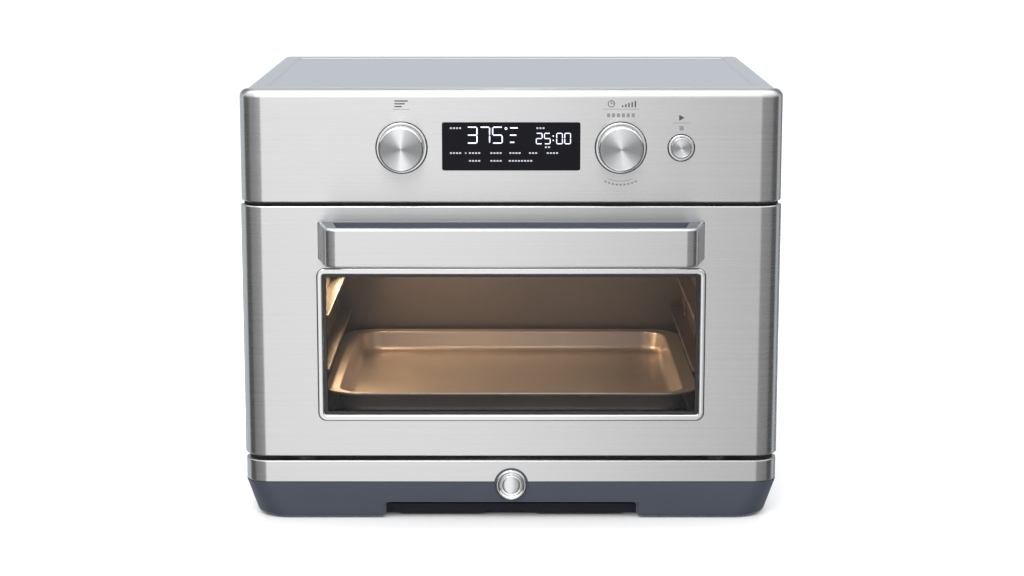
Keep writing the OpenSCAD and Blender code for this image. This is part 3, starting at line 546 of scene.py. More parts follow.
# Each slot of the record: the function that makes its material, and what it is given.
MAKERS = {
    "brushed_steel": (brushed, dict(color=(0.74, 0.74, 0.745), roughness=0.28, spread=0.055,
                                    anisotropy=0.92)),
    "case_steel": (brushed, dict(color=(0.74, 0.762, 0.79), roughness=0.32, spread=0.03,
                                 stretch=(1600, 8, 1600))),
    "zinc_steel": (spangled, dict(colors=((0.5, 0.51, 0.53), (0.6, 0.61, 0.63)), roughness=(0.34, 0.5))),
    "cavity_steel": (browned_steel_with_painted_shade, {}),
    "bright_trim": (clouded, dict(colors=((0.86, 0.87, 0.88), (0.95, 0.95, 0.96)), roughness=(0.1, 0.16),
                                  scale=220.0, Metallic=1.0)),
    "spun_metal": (spun, dict(colors=((0.78, 0.79, 0.80), (0.86, 0.87, 0.88)), roughness=(0.34, 0.39))),
    "slate_plastic": (moulded, dict(color=(0.049, 0.059, 0.082), roughness=0.42)),
    "black_plastic": (moulded, dict(color=(0.018, 0.018, 0.02), roughness=0.45)),
    "display_black": (clouded, dict(colors=((0.004, 0.004, 0.006), (0.008, 0.008, 0.011)),
                                    roughness=(0.08, 0.18), scale=30.0, detail=5.0,
                                    Specular_IOR_Level=0.12)),
    "clear_glass": (tempered_glass, {}),
    "lamp_glass": (glowing, dict(color=(1.0, 0.85, 0.6), strength=0.15, dim=(1.0, 0.72, 0.40), scale=240.0,
                                 roughness=0.35)),
    "rubber": (moulded, dict(color=(0.025, 0.025, 0.026), roughness=0.75, grain=900.0, depth=0.4)),
    "silicone": (moulded, dict(color=(0.02, 0.02, 0.022), roughness=0.7, grain=700.0, depth=0.2)),
    "ceramic": (clouded, dict(colors=((0.74, 0.72, 0.66), (0.9, 0.88, 0.83)), roughness=(0.5, 0.7),
                              scale=700.0, depth=0.2)),
    "heater_sheath": (clouded, dict(colors=((0.07, 0.065, 0.065), (0.2, 0.17, 0.15)), roughness=(0.4, 0.7),
                                    scale=180.0, stretch=(0.2, 1, 1), detail=5.0, depth=0.3,
                                    distance=0.0001, Metallic=0.6)),
    "pan_coating": (non_stick, {}),
    "tray_enamel": (enamel, {}),
    "glass_wool": (clouded, dict(colors=((0.6, 0.55, 0.42), (0.86, 0.82, 0.68)), roughness=(0.85, 0.95),
                                 scale=600.0, stretch=(0.25, 1, 1), detail=6.0, depth=0.8, distance=0.001,
                                 Sheen_Weight=0.3)),
    "circuit": (circuit_board, {}),
    "wire_chrome": (plain_metal, dict(color=(0.78, 0.78, 0.79), roughness=0.2)),
    "bolt_steel": (plain_metal, dict(color=(0.5, 0.5, 0.51), roughness=0.34)),
    "motor_steel": (plain_metal, dict(color=(0.24, 0.24, 0.25), roughness=0.5)),
}
FINISHES = {}


def finish(slot):
    """The material of a record's slot, made once."""
    if slot not in FINISHES:
        maker, settings = MAKERS[slot]
        FINISHES[slot] = maker(slot, **settings)
    return FINISHES[slot]


# ---------------------------------------------------------------- case

fascia = Place("control_fascia")
door = Place("door_skin")
strip = Place("lower_trim")
case = Place("outer_case")
skirt = Place("base_skirt")
ring_box = Place("window_trim")
bar = Place("handle_bar")
liner_box = Place("handle_liner")

FASCIA_R = 20 * MM
DOOR_R = 19 * MM
FACE = door.y0


def case_shell():
    """The case's front view, a strip with two round top corners, carried from back to front. Its
    top is pressed down inside a margin, by a smooth step, and its sides have cooling slots."""
    margin, press, slope = 20 * MM, 0.8 * MM, 2.5 * MM
    slots = [case.y1 - 100 * MM + i * 10 * MM for i in range(7)]
    slot_w, slot_low, slot_high = 3 * MM, fascia.z0 + 8 * MM, fascia.z0 + 58 * MM
    steps = np.linspace(-slope, slope, 9)
    top = between(np.linspace(0.04, 0.4, 13), margin + steps, case.w - margin + steps)
    heights = between(slot_low - case.z0, slot_high - case.z0)
    outline = rectangle(case.x0, case.x1, case.z0, case.z1, (0, 0, 8 * MM, 8 * MM), still=(0,),
                        splits={1: heights, 2: top, 3: case.h - heights[::-1]})
    lines = between(np.linspace(case.y0 + 2 * MM, case.y1 - 2 * MM, 18),
                    case.y0 + margin + steps, case.y1 - margin + steps,
                    [[y, y + slot_w] for y in slots])[::-1]
    profile = offsets(0, case.y1, (1.1, -2), (0.3, -0.2), (0, -0.6))
    profile += [(0, y) for y in lines if case.y0 + 0.7 * MM < y < case.y1 - 0.7 * MM]
    profile += offsets(0, case.y0, (0, 0.6), (0.3, 0.15), (0.9, 0))
    points, faces = loft(outline, profile, front)
    inside = np.minimum(case.w / 2 - margin - np.abs(points[:, 0]),
                        case.d / 2 - margin - np.abs(points[:, 1] - case.y))
    share = np.clip(inside / slope + 0.5, 0, 1)
    drop = press * share * share * (3 - 2 * share)
    points[:, 2] -= np.where(points[:, 2] > case.z1 - 1 * MM, drop, 0)
    holes = [((-1, y, slot_low), (1, y + slot_w, slot_high)) for y in slots]
    under = ((-1, -1, -1), (1, 1, case.z0 + 1e-5))
    return cut((points, faces), *holes, under)


piece("case_cover", [case_shell()], "oven", "case_steel", ["outer_case"], thickness=1.1 * MM)


def fascia_shell():
    """The control panel: its plan, round at the two front corners, carried up along a profile
    with a small fold below and a wide round at the top."""
    window = Place("display_window")
    across = between([-0.16, 0.16], window.x0 + 0.3 * MM, window.x1 - 0.3 * MM) - fascia.x0
    outline = rectangle(fascia.x0, fascia.x1, fascia.y0, fascia.y1, (FASCIA_R, FASCIA_R, 0, 0), steps=14,
                        still=(2,), splits={0: across})
    r = 6.5 * MM
    profile = [(6 * MM, fascia.z0)] + pill(fascia.z0, fascia.z1, 1.2 * MM).tolist()[:5]
    profile += arc(r, fascia.z1 - r, -r, r, 0, QUARTER, 9)
    low = [p for p in profile if p[1] < window.z0]
    high = [p for p in profile if p[1] > window.z1]
    middle = [(0, window.z0 + 0.3 * MM), (0, window.z1 - 0.3 * MM)]
    shell = loft(outline, low + middle + high, end=True)
    hole = ((window.x0, -1, window.z0), (window.x1, fascia.y0 + 1 * MM, window.z1))
    rear = ((-1, fascia.y1 - 1e-5, -1), (1, 1, 1))
    return cut(shell, hole, rear)


piece("fascia_panel", [fascia_shell()], "oven", "brushed_steel", ["control_fascia"], thickness=1.1 * MM)


def strip_shell():
    """The steel strip under the door, round at its two front corners."""
    outline = rectangle(strip.x0, strip.x1, strip.y0, strip.y1, (DOOR_R, DOOR_R, 0, 0), steps=12,
                        still=(2,))
    profile = [(5 * MM, strip.z0)] + pill(strip.z0, strip.z1, 1 * MM, 4).tolist()
    shell = loft(outline, profile, end=True)
    rear = ((-1, strip.y1 - 1e-5, -1), (1, 1, 1))
    return cut(shell, rear)


piece("steel_strip", [strip_shell()], "oven", "brushed_steel", ["lower_trim"], thickness=1.1 * MM)


def gap_shade_strip():
    """A black strip set back in the gap over the door, round at its front corners: painted shade that
    stands for the dark gap.
    """
    outline = rectangle(door.x0 + 3.5 * MM, door.x1 - 3.5 * MM, FACE + 3.5 * MM, FACE + 15 * MM,
                        (DOOR_R - 3.5 * MM, DOOR_R - 3.5 * MM, 0, 0), steps=12)
    return loft(outline, [(0, fascia.z0 - 2.2 * MM), (0, fascia.z0 - 0.1 * MM)], start=True, end=True)


# painted shade: a black strip standing for the shade in the gap between the panel and the door
piece("gap_shade_strip", [gap_shade_strip()], "oven", material=finish("silicone"))


# ---------------------------------------------------------------- base

badge = Place("badge")
BADGE_R = badge.w / 2


def skirt_shell():
    """The base: outlines whose front corners get rounder and whose sides draw in towards the
    counter, with a fine lip at the top, a round lower edge and a notch in the front."""
    notch, notch_top = 107 * MM, 13.9 * MM
    slope, top = 8.8 * MM, strip.z0 - 0.1 * MM
    levels = np.concatenate([skirt.z0 + 2.2 * MM * (1 - np.cos(np.linspace(0, QUARTER, 6))),
                             np.linspace(skirt.z0 + 4 * MM, notch_top, 4),
                             np.linspace(notch_top, top - 2.4 * MM, 6)[1:]])
    insets = np.zeros(len(levels))
    insets[:6] = 2.2 * MM * (1 - np.sin(np.linspace(0, QUARTER, 6)))
    levels = np.append(levels, [top - 0.6 * MM, top - 0.2 * MM, top, top])
    insets = np.append(insets, [0, 0.2 * MM, 0.7 * MM, 2.8 * MM])
    rings = []
    for z, inset in zip(levels, insets):
        share = (top - z) / (top - skirt.z0)
        half = skirt.x1 - slope * share
        corner = (20 + 9 * share) * MM
        edges = [half - notch, half - notch + 1.5 * MM, half + notch - 1.5 * MM, half + notch]
        outline = rectangle(-half, half, FACE, skirt.y1, (corner, corner, 6 * MM, 6 * MM), steps=12,
                            splits={0: edges})
        rings.append(plan(outline.at(inset), z))
    shell = grid(rings)
    hole = ((-notch, -1, -1), (notch, FACE + 5 * MM, notch_top))
    return cut(shell, hole)


def collar():
    """The round collar that rises from the base round the badge."""
    r, y = BADGE_R, -FACE
    profile = offsets(r, y, (1.8, -3), (1.8, 0.3), (1.5, 0.6), (0.5, 0.6), (0.2, 0.3), (0.2, -0.2))
    return turned(profile + [(0, y - 0.2 * MM)], (0, 0, badge.z))


def badge_disc():
    """A disc with a round rim and two plain grooves round a domed middle."""
    r, y = BADGE_R, -FACE - 0.15 * MM
    profile = offsets(r, y, (-0.2, 0))
    profile += arc(r - 1.1 * MM, y + 1.35 * MM, 1.1 * MM, 0.9 * MM, -0.3, math.pi * 0.82, 9)
    profile += offsets(r, y, (-2.6, 1.2), (-3.2, 1.5), (-4.0, 1.5), (-4.5, 1.15))
    profile += arc(0, y + 1.15 * MM, r - 4.9 * MM, 0.75 * MM, 0, QUARTER, 9)
    return turned(profile, (0, 0, badge.z))


piece("base_shell", [skirt_shell()], "oven", "slate_plastic", ["base_skirt"], thickness=2.6 * MM)
piece("badge_collar", [collar()], "oven", "slate_plastic")
piece("badge_disc", [badge_disc()], "oven", "bright_trim", ["badge"])


def feet():
    """Four rubber feet, each a disc with a round lower edge and a hollow sole."""
    box = Place("rubber_feet")
    r = 10 * MM
    profile = [(0, box.z0 + 1.0 * MM)]
    profile += offsets(r, box.z0, (-3, 1), (-3.4, 0.2), (-2.6, 0), (-0.8, 0), (-0.2, 0.4), (0, 1))
    profile += [(r, box.z1), (0, box.z1)]
    places = [(x, y, 0) for x in (box.x0 + r, box.x1 - r) for y in (box.y0 + r, box.y1 - r)]
    return [turned(profile, place, "z", 40) for place in places]


piece("feet_pads", feet(), "oven", "rubber", ["rubber_feet"])


# ---------------------------------------------------------------- controls

mode = Place("mode_knob")
temp = Place("temp_knob")
start = Place("start_button")


def knob_shape(place):
    """A knob: a waist next to the panel, a drum, and a wide round rim over a seat for its face."""
    r, back, out = place.w / 2, -place.y1, -place.y0
    profile = [(0, back)] + offsets(r, back, (-2, 0), (-2, 2.4), (-0.3, 2.7), (0, 3.1))
    profile += arc(r - 1.6 * MM, out - 1.6 * MM, 1.6 * MM, 1.6 * MM, 0, QUARTER, 9)
    return turned(profile + offsets(r, out, (-1.75, -0.5)), (place.x, 0, place.z), count=128)


def knob_face(place):
    """The knob's spun face, a plain disc set in the rim."""
    r, out = place.w / 2 - 1.7 * MM, -place.y0
    profile = offsets(r, out, (0, -0.8), (0, -0.35), (-0.3, -0.15))
    profile += [(share * (r - 0.5 * MM), out - 0.15 * MM) for share in np.linspace(1, 0, 14)]
    return turned(profile, (place.x, 0, place.z), count=128)


def bezel_shape(place):
    """A ring round a control: a flat step, a round outer edge and a plain bore."""
    inner = place.w / 2 + 0.5 * MM
    outer, top = inner + 1.9 * MM, -FACE + 2 * MM
    profile = [(outer, -FACE), (outer, top - 0.7 * MM)]
    profile += arc(outer - 0.7 * MM, top - 0.7 * MM, 0.7 * MM, 0.7 * MM, 0.2, QUARTER, 6)
    profile += offsets(inner, top, (0.25, 0), (0, -0.25), (0, -2.8))
    return turned(profile, (place.x, 0, place.z), count=128)


def button_shape(place):
    """The start button: a plunger with a bevelled rim and a spun face."""
    r, back, out = place.w / 2, -place.y1, -place.y0
    profile = [(0, back), (3 * MM, back), (3 * MM, -FACE - 2 * MM), (r, -FACE - 2 * MM)]
    profile += arc(r - 0.8 * MM, out - 0.7 * MM, 0.8 * MM, 0.7 * MM, 0, QUARTER, 6)
    profile += offsets(r, out, (-1.1, -0.3))
    profile += [(share * (r - 1.2 * MM), out - 0.3 * MM) for share in np.linspace(1, 0, 8)]
    return turned(profile, (place.x, 0, place.z))


for place, dial in ((mode, "mode"), (temp, "temp")):
    piece(dial + "_knob_body", [knob_shape(place)], dial + "_dial", "spun_metal", [dial + "_knob"],
          material=finish("bright_trim"))
    piece(dial + "_knob_face", [knob_face(place)], dial + "_dial", "spun_metal", flats=False)
piece("start_button_spun", [button_shape(start)], "start_push", "spun_metal", ["start_button"],
      flats=False)
piece("control_rings", [bezel_shape(p) for p in (mode, temp, start)], "oven", "bright_trim",
      ["control_bezels"])

screen = Place("display_window")


def screen_block():
    """The display's window: a block with round corners and a fine bevel at its front."""
    profile = [(0, screen.y1)] + offsets(0, screen.y0, (0, 0.25), (0.08, 0.07), (0.25, 0))
    return loft(screen.outline(0, 2 * MM, 6), profile, front, start=True, end=True)


piece("display_glass", [screen_block()], "oven", "display_black", ["display_window"])

# A number's strokes, each from one point to another of a grid one step wide and two steps tall.
STROKES = {"a": (0, 2, 1, 2), "b": (1, 1, 1, 2), "c": (1, 0, 1, 1), "d": (0, 0, 1, 0),
           "e": (0, 0, 0, 1), "f": (0, 1, 0, 2), "g": (0, 1, 1, 1)}
NUMBERS = {"0": "abcdef", "2": "abged", "3": "abgcd", "5": "afgcd", "7": "abc"}


class Sheet:
    """Thin marks on a flat front, by steps in millimetres to the right of a point and up."""

    def __init__(self, x, z, y):
        self.x, self.z, self.y = x, z, y
        self.marks = []

    def go(self, x, z):
        """Puts the marks that follow at another point."""
        self.x, self.z = x, z

    def lay(self, points, raised):
        """The points on the front, or raised from it by a mark's thickness."""
        return front(np.array(points, float) * MM + (self.x, self.z), self.y - raised * 0.06 * MM)

    def plate(self, points):
        """A thin plate with the given outline."""
        self.marks.append(grid([self.lay(points, 0), self.lay(points, 1)], start=True, end=True))

    def box(self, x, z, width, height, radius=0.0):
        """A plate by its lower left corner."""
        self.plate(rectangle(x, x + width, z, z + height, radius, steps=3).at())

    def bar(self, x, z, length, height):
        """A plate with round ends, by its left end and its middle height."""
        self.box(x, z - height / 2, length, height, height * 0.3)

    def ring(self, x, z, outer, inner, steps=9):
        """A flat ring."""
        edge = circle(x, z, outer, steps)
        width = outer - inner
        self.marks.append(grid([self.lay(edge.at(inset), raised) for inset, raised in
                                ((width, 0), (width, 1), (0, 1), (0, 0))]))

    def bow(self, radius, width, low, high):
        """A plate bent along an arc about the point, between two angles in degrees."""
        low, high, outer = math.radians(low), math.radians(high), radius + width
        self.plate(arc(0, 0, outer, outer, low, high, 12) + arc(0, 0, radius, radius, high, low, 12))

    def digit(self, character, x, z, width, height, stroke):
        """A number of up to seven strokes, each a bar with pointed ends."""
        for key in NUMBERS[character]:
            a, b = np.reshape(STROKES[key], (2, 2)) * (width, height / 2) + (x, z)
            along = (b - a) / np.linalg.norm(b - a)
            tip, across = along * stroke / 2, np.array([-along[1], along[0]]) * stroke / 2
            a, b = a + along * stroke * 0.22, b - along * stroke * 0.22
            self.plate([a, a + tip - across, b - tip - across, b, b - tip + across, a + tip + across])


def display_marks():
    """The temperature on the left with its ring, three bars beside it, and the minutes and
    seconds on the right."""
    sheet = Sheet(screen.x0, screen.z1, screen.y0 - 0.01 * MM)
    for i, character in enumerate("375"):
        sheet.digit(character, 20.8 + 10.3 * i, -17, 7.8, 13, 0.95)
    for i, character in enumerate("2500"):
        sheet.digit(character, 77 + 6.6 * i + (3.4 if i > 1 else 0), -17.6, 4.7, 8.6, 0.7)
    for z in (-11.2, -14.8):
        sheet.bar(90.3, z, 1, 1)
    sheet.ring(52.3, -5.1, 1.1, 0.6, steps=6)
    for i, length in enumerate((6.4, 5.2, 3.6)):
        sheet.bar(55.5, -4.6 - 5.9 * i, length, 1)
    return sheet.marks


def display_labels():
    """Dimmer bars: a title over each number, and two rows in place of the names of the modes."""
    sheet = Sheet(screen.x0, screen.z1, screen.y0 - 0.01 * MM)
    rows = ((4.8, ((6.5, 10), (77, 8))),
            (25.2, ((6.5, 10), (22, 10.5), (39.5, 9), (55, 9), (71, 8), (85.5, 9.5))),
            (31.6, ((22, 10.5), (39.5, 9), (54.5, 20))), (20.4, ((84, 5.5),)))
    for depth, bars in rows:
        for x, length in bars:
            for dash in np.arange(0, length - 1.2, 2.5):
                sheet.bar(x + dash, -depth, 1.7, 1.3)
    sheet.bar(18.8, -25.2, 1.2, 1.2)
    return sheet.marks


piece("display_numbers", display_marks(), "oven",
      material=glowing("number_light", (0.80, 0.83, 1.0), 0.85))
piece("display_rows", display_labels(), "oven", material=glowing("label_light", (0.42, 0.44, 0.52), 0.5))


def printed_marks():
    """Plain signs in place of the panel's words: bars over the mode knob, a clock and a rising
    scale over the other knob, and a triangle over the start button."""
    sheet = Sheet(mode.x, fascia.z1, FACE)
    for i in range(3):
        sheet.bar(-5.5, -8.7 - 2.3 * i, 11 - 2.5 * i, 1)
    sheet.bar(-7, -15.6, 14, 0.22)
    sheet.go(temp.x, fascia.z1)
    sheet.ring(-8, -11, 2.9, 2.3)
    sheet.bar(-8.3, -11, 2.2, 0.5)
    sheet.box(-8.3, -11, 0.5, 2)
    for i in range(5):
        sheet.box(0.5 + 2.6 * i, -13.8, 1.2, 1.6 + 0.9 * i)
    sheet.bar(-15, -15.4, 30, 0.22)
    sheet.go(temp.x, temp.z)
    sheet.bow(27.3, 0.25, -111, -69)
    sheet.go(start.x, fascia.z1)
    sheet.plate([(-2, -24.8), (2.4, -22.4), (-2, -20)])
    sheet.bar(-7.5, -26.6, 15, 0.22)
    return sheet.marks


def faint_marks():
    """The same kind of signs in a paler ink, for each control's second use: six small plates and
    a scale at one knob, and a square at the start button."""
    sheet = Sheet(temp.x, fascia.z1, FACE)
    for i in range(6):
        sheet.box(-11.5 + 4 * i, -22, 2.6, 3.2, 0.5)
    sheet.go(start.x, fascia.z1)
    sheet.box(-1.8, -32.8, 3.6, 3.6)
    sheet.go(temp.x, temp.z)
    for i in range(-4, 5):
        sheet.bow(29.8, 1.2, -91.7 + 6 * i, -88.3 + 6 * i)
    return sheet.marks


piece("printed_signs", printed_marks(), "oven", material=moulded("printed_ink", (0.07, 0.07, 0.075), 0.5))
piece("printed_faint", faint_marks(), "oven", material=moulded("pale_ink", (0.24, 0.24, 0.25), 0.5))


def control_shade_rings():
    """A thin black ring round each control's ring: painted shade for the shadow gap at its edge."""
    profile = offsets(0, FACE, (0, 0.02), (0, -0.7), (0.8, -0.7), (0.8, 0.02))
    return [loft(circle(place.x, place.z, place.w / 2 + 3.1 * MM, 24), profile, front)
            for place in (mode, temp, start)]


# painted shade: black rings standing for the shadow gap round each control
piece("control_shade_rings", control_shade_rings(), "oven", material=finish("black_plastic"))


# ---------------------------------------------------------------- door

def door_shell():
    """The door's skin: its plan, round at the two front corners, carried up with small folds at
    the top and the bottom, and closed behind by a flange on each side. Its bottom is open where
    the hinges pass."""
    bracket = Place("hinge_brackets")
    flange = 18 * MM
    deep = door.y1 - 1.4 * MM
    hole_x = ring_box.w / 2 - 2.5 * MM
    z0, z1 = ring_box.z0 + 2.5 * MM, ring_box.z1 - 2.5 * MM
    corners = [(door.x0, door.y0), (door.x1, door.y0), (door.x1, deep), (door.x1 - flange, deep),
               (door.x0 + flange, deep), (door.x0, deep)]
    near, far = bracket.x1 - 16.5 * MM, bracket.x1 + 16 * MM
    places = np.array([far, near, -near, -far])
    outline = Outline(corners, (DOOR_R, DOOR_R, 1.5 * MM, 0, 0, 1.5 * MM), steps=12,
                      splits={0: between([-0.16, 0.16], -hole_x, hole_x) - door.x0,
                              3: door.x1 - flange - places})
    ends = pill(door.z0, door.z1, 1.3 * MM, 4).tolist()
    profile = ends[:5] + [(0, z0), (0, z1)] + ends[5:]
    shell = loft(outline, profile, end=True)
    hole = ((-hole_x, -1, z0), (hole_x, FACE + 1 * MM, z1))
    rear = ((door.x0 + flange + 1 * MM, deep - 1e-5, door.z0 + 1 * MM),
            (door.x1 - flange - 1 * MM, 1, door.z1 - 1 * MM))
    folds = [((a, FACE + 1.4 * MM, -1), (b, 1, door.z0 + 1.4 * MM))
             for a, b in ((near, far), (-far, -near))]
    ring = outline.at(1.3 * MM)
    back = ring[:, 1].max()
    for right, left in ((-near, -far), (far, near)):
        at = np.argmin(np.abs(ring[:, 0] - right) + np.abs(ring[:, 1] - back)) + 1
        ring = np.insert(ring, at, [(right, FACE + 1.4 * MM), (left, FACE + 1.4 * MM)], axis=0)
    return cut(shell, hole, rear, *folds), filled([plan(ring, door.z0)], False)


piece("door_panel", door_shell(), "door", "brushed_steel", ["door_skin"], thickness=1.1 * MM)


def window_ring():
    """Bright trim: a rounded bead carried round the window's opening."""
    profile = offsets(0, FACE, (0, -0.02), (0, -0.35), (0.25, -0.65), (0.7, -0.8), (3.3, -0.8),
                      (4, -0.55), (4.6, 0.1), (4.8, 0.8), (4.8, 1.25), (1.8, 1.25), (1.8, -0.02),
                      (0, -0.02))
    return loft(ring_box.outline(0, 6.5 * MM, 10), profile, front)


def window_shade_line():
    """A thin black line round the bright trim: painted shade for the shadow gap at its edge."""
    profile = offsets(0, FACE, (0, -0.06), (0.7, -0.06), (0.7, -0.02), (0, -0.02), (0, -0.06))
    return loft(ring_box.outline(0.55 * MM, 7 * MM, 10), profile, front)


# painted shade: a black line standing for the shadow gap round the window trim
piece("window_shade_line", [window_shade_line()], "door", material=finish("black_plastic"))
piece("window_bead", [window_ring()], "door", "bright_trim", ["window_trim"])


def inner_panel():
    """The door's inner frame: a tray with a raised bead round the window and a rolled edge."""
    box = Place("door_inner_frame")
    edge, hole = box.outline(0, 5 * MM, 8), ring_box.outline(-2.8 * MM, 6 * MM, 8)
    outer = [(0, box.y0)] + offsets(0, box.y1, (0, -1.5), (0.4, -0.5), (1.5, 0), (5, 0), (6.5, -1),
                                    (9, -1), (10.5, 0))
    inner = offsets(0, box.y1, (-12, 0), (-10, -1.2), (-7, -1.2), (-5, 0), (-1.5, 0), (-0.4, -0.5),
                    (0, -1.5), (0, -12))
    rings = [front(edge.at(inset), y) for inset, y in outer]
    rings += [front(hole.at(inset), y) for inset, y in inner]
    return flipped(grid(rings))


piece("door_liner", [inner_panel()], "door", "cavity_steel", ["door_inner_frame"], thickness=1 * MM)


# ---------------------------------------------------------------- handle

LEAN, HANDLE_R = 10.5 * MM, 11 * MM
PLATE = 2.5 * MM


def handle_steel():
    """The handle's steel: a band bent round the front and both ends, with fine round edges."""
    back = FACE - PLATE
    half = bar.x1 - 1.8 * MM
    tip = bar.x1 - LEAN
    outline = Outline([(-tip, bar.y0), (tip, bar.y0), (half, back), (-half, back)],
                      (HANDLE_R, HANDLE_R, 0, 0), steps=12, still=(2,))
    shell = loft(outline, pill(bar.z0, bar.z1, 2.2 * MM, 6))
    rear = ((-1, back - 1e-5, -1), (1, 1, 1))
    return cut(shell, rear)


def handle_core():
    """The handle's plastic: a bar, two posts and the plate on the door, drawn as one plan with a
    finger gap, and carried up just short of the steel's edges."""
    low, high = liner_box.z0 + 0.2 * MM, liner_box.z1 - 0.2 * MM
    post, thick, skin = 14 * MM, 10.5 * MM, 1.2 * MM
    half, tip = bar.x1, bar.x1 - LEAN
    front_y, gap_y, plate_y = bar.y0 + skin, bar.y0 + thick, FACE - PLATE
    gap_back = half - post
    gap_front = gap_back - 5.3 * MM
    outer = Outline([(skin - tip, front_y), (tip - skin, front_y), (half - skin, FACE),
                     (skin - half, FACE)], (HANDLE_R - skin, HANDLE_R - skin, 0, 0), steps=12)
    hole = Outline([(-gap_front, gap_y), (gap_front, gap_y), (gap_back, plate_y), (-gap_back, plate_y)],
                   2 * MM, steps=4)
    return ring_solid(outer, hole, low, high, 0.5 * MM)


def ring_solid(outer, hole, low, high, edge):
    """A solid between two outlines: walls with bevelled edges, and flat ends between them."""
    profile = pill(low, high, edge, 2)
    walls = [loft(outer, profile), flipped(loft(hole, profile * (-1, 1)))]
    return walls + [filled([plan(outer.at(edge), z), plan(hole.at(-edge), z)], up)
                    for z, up in ((low, False), (high, True))]


piece("handle_band", [handle_steel()], "door", "brushed_steel", ["handle_bar"], thickness=1.3 * MM)
# painted light: the handle's plastic is a lighter copy of the slate, standing for light falling into the
# finger gap
piece("handle_core", handle_core(), "door", "slate_plastic", ["handle_liner"],
      material=moulded("handle_plastic_painted_light", (0.105, 0.12, 0.15), 0.38))


# ---------------------------------------------------------------- pan, rack and guides

def pan_shape():
    """The baking pan: round corners, sloping walls with a wide round foot, and a broad rim that
    rises gently to a rolled edge."""
    box = Place("baking_pan")
    rim, end, foot = 14 * MM, 8 * MM, 6 * MM
    top, low = box.z1 - 0.2 * MM, box.z0 + 0.3 * MM
    profile = arc(1.1 * MM, top - 1.1 * MM, -1 * MM, 1 * MM, -2.2, QUARTER, 8)
    profile += [(3 * MM, top - 0.5 * MM)]
    profile += arc(rim - 2 * MM, top - 2.9 * MM, 2 * MM, 2 * MM, QUARTER, 0, 6)
    profile += arc(rim + 2.2 * MM + foot, low + foot, -foot, -foot, 0, QUARTER, 6)
    rings = []
    for inset, z in profile:
        share, rest = min(inset / rim, 1.0), max(inset - rim, 0)
        x, y = box.x1 - rim * share - rest, end * share + rest
        corner = max(30 * MM - 8 * MM * share - rest, 4 * MM)
        outline = rectangle(-x, x, box.y0 + y, box.y1 - y, corner, steps=10)
        rings.append(plan(outline.at(), z))
    return grid(rings, end=True)


piece("pan_shell", [pan_shape()], "rack", "pan_coating", ["baking_pan"], thickness=0.7 * MM)


def rack_wires():
    """The rack: a frame wire with round corners, fine wires from back to front over it, and two
    wires under them from side to side."""
    box = Place("wire_rack")
    r = 2 * MM
    frame_line = rectangle(box.x0 + r, box.x1 - r, box.y0 + r, box.y1 - r, 9 * MM, steps=8).at()
    parts = [wire(plan(frame_line, box.z0 + r), r, closed=True)]
    thin, count = 1.25 * MM, 13
    for x in np.linspace(box.x0 + r, box.x1 - r, count + 2)[1:-1]:
        path = [(x, y, box.z1 - thin) for y in np.linspace(box.y0 + r, box.y1 - r, 6)]
        parts.append(wire(path, thin, 10))
    for y in (box.y0 + 0.32 * box.d, box.y0 + 0.68 * box.d):
        path = [(x, y, box.z0 + r * 0.7) for x in np.linspace(box.x0 + r, box.x1 - r, 6)]
        parts.append(wire(path, 1.3 * MM, 10))
    return parts


piece("rack_grid", rack_wires(), "rack", "wire_chrome", ["wire_rack"])


def dome(place, radius, height):
    """A pressed bump on the right wall of the cavity: a shallow dome that faces the middle."""
    return flipped(turned(arc(0, 0, radius, -height, 0, QUARTER, 7), place, "x", 32))


def guide_rails():
    """Each side's pressed rails: three long ribs with round noses, joined by two uprights."""
    box = Place("rack_guides")
    near, wall = box.x1 - 12 * MM, box.x1 - 0.02 * MM
    lowest, pitch = box.z0 + 12 * MM, 46 * MM
    profile = [(0, box.y1)] + offsets(0, box.y0, (0, 1.5), (0.4, 0.4), (1.1, 0))
    rails = []
    for level in range(3):
        z = lowest + level * pitch
        section = Outline([(near, z - 3 * MM), (wall, z - 5 * MM), (wall, z), (near, z)],
                          (1.2 * MM, 0, 0, 1.2 * MM), steps=4)
        rails.append(loft(section, profile, front, start=True, end=True))
    for y in (box.y0 + 0.12 * box.d, box.y0 + 0.83 * box.d):
        rails.append(block((box.x1 - 1.2 * MM, wall), (y, y + 12 * MM), (box.z0, box.z1), 0.5 * MM))
        for level in range(3):
            rails.append(dome((wall, y + 6 * MM, lowest + (level + 0.5) * pitch), 7 * MM, 4 * MM))
    return rails + [mirrored(rail) for rail in rails]


piece("guide_rails", guide_rails(), "oven", "cavity_steel", ["rack_guides"])


# ---------------------------------------------------------------- plain CAD nodes

slots = {part["node"]: part["material_slot"] for part in frame["record"]["subparts"]}
for node, thing in frame["nodes"].items():
    thing.data.materials.clear()
    thing.data.materials.append(finish(slots[node]))


# ---------------------------------------------------------------- studio

def floor():
    """A pale sweep under and behind the oven, with no light of its own right under it."""
    material = Finish("studio_floor", Roughness=0.9, Emission_Strength=0.28, Specular_IOR_Level=0.1)
    shade = material.mix(material.noise(3.0), (0.93, 0.93, 0.935), (0.95, 0.95, 0.955))
    x, y = (material.part(material.place, axis).math("ABSOLUTE") for axis in "XY")
    under = (0.212 - x).math("MINIMUM", 0.188 - y).over(0.0, 0.012)
    material.set(Base_Color=shade, Emission_Color=material.mix(under, shade, (0.0, 0.0, 0.0)))
    mesh = bpy.data.meshes.new("floor")
    reach = 30.0
    corners = [(-reach, -reach, 0), (reach, -reach, 0), (reach, reach, 0), (-reach, reach, 0)]
    mesh.from_pydata(corners, [], [(0, 1, 2, 3)])
    mesh.materials.append(material.material)
    thing = added("floor", mesh)
    thing.visible_glossy = False


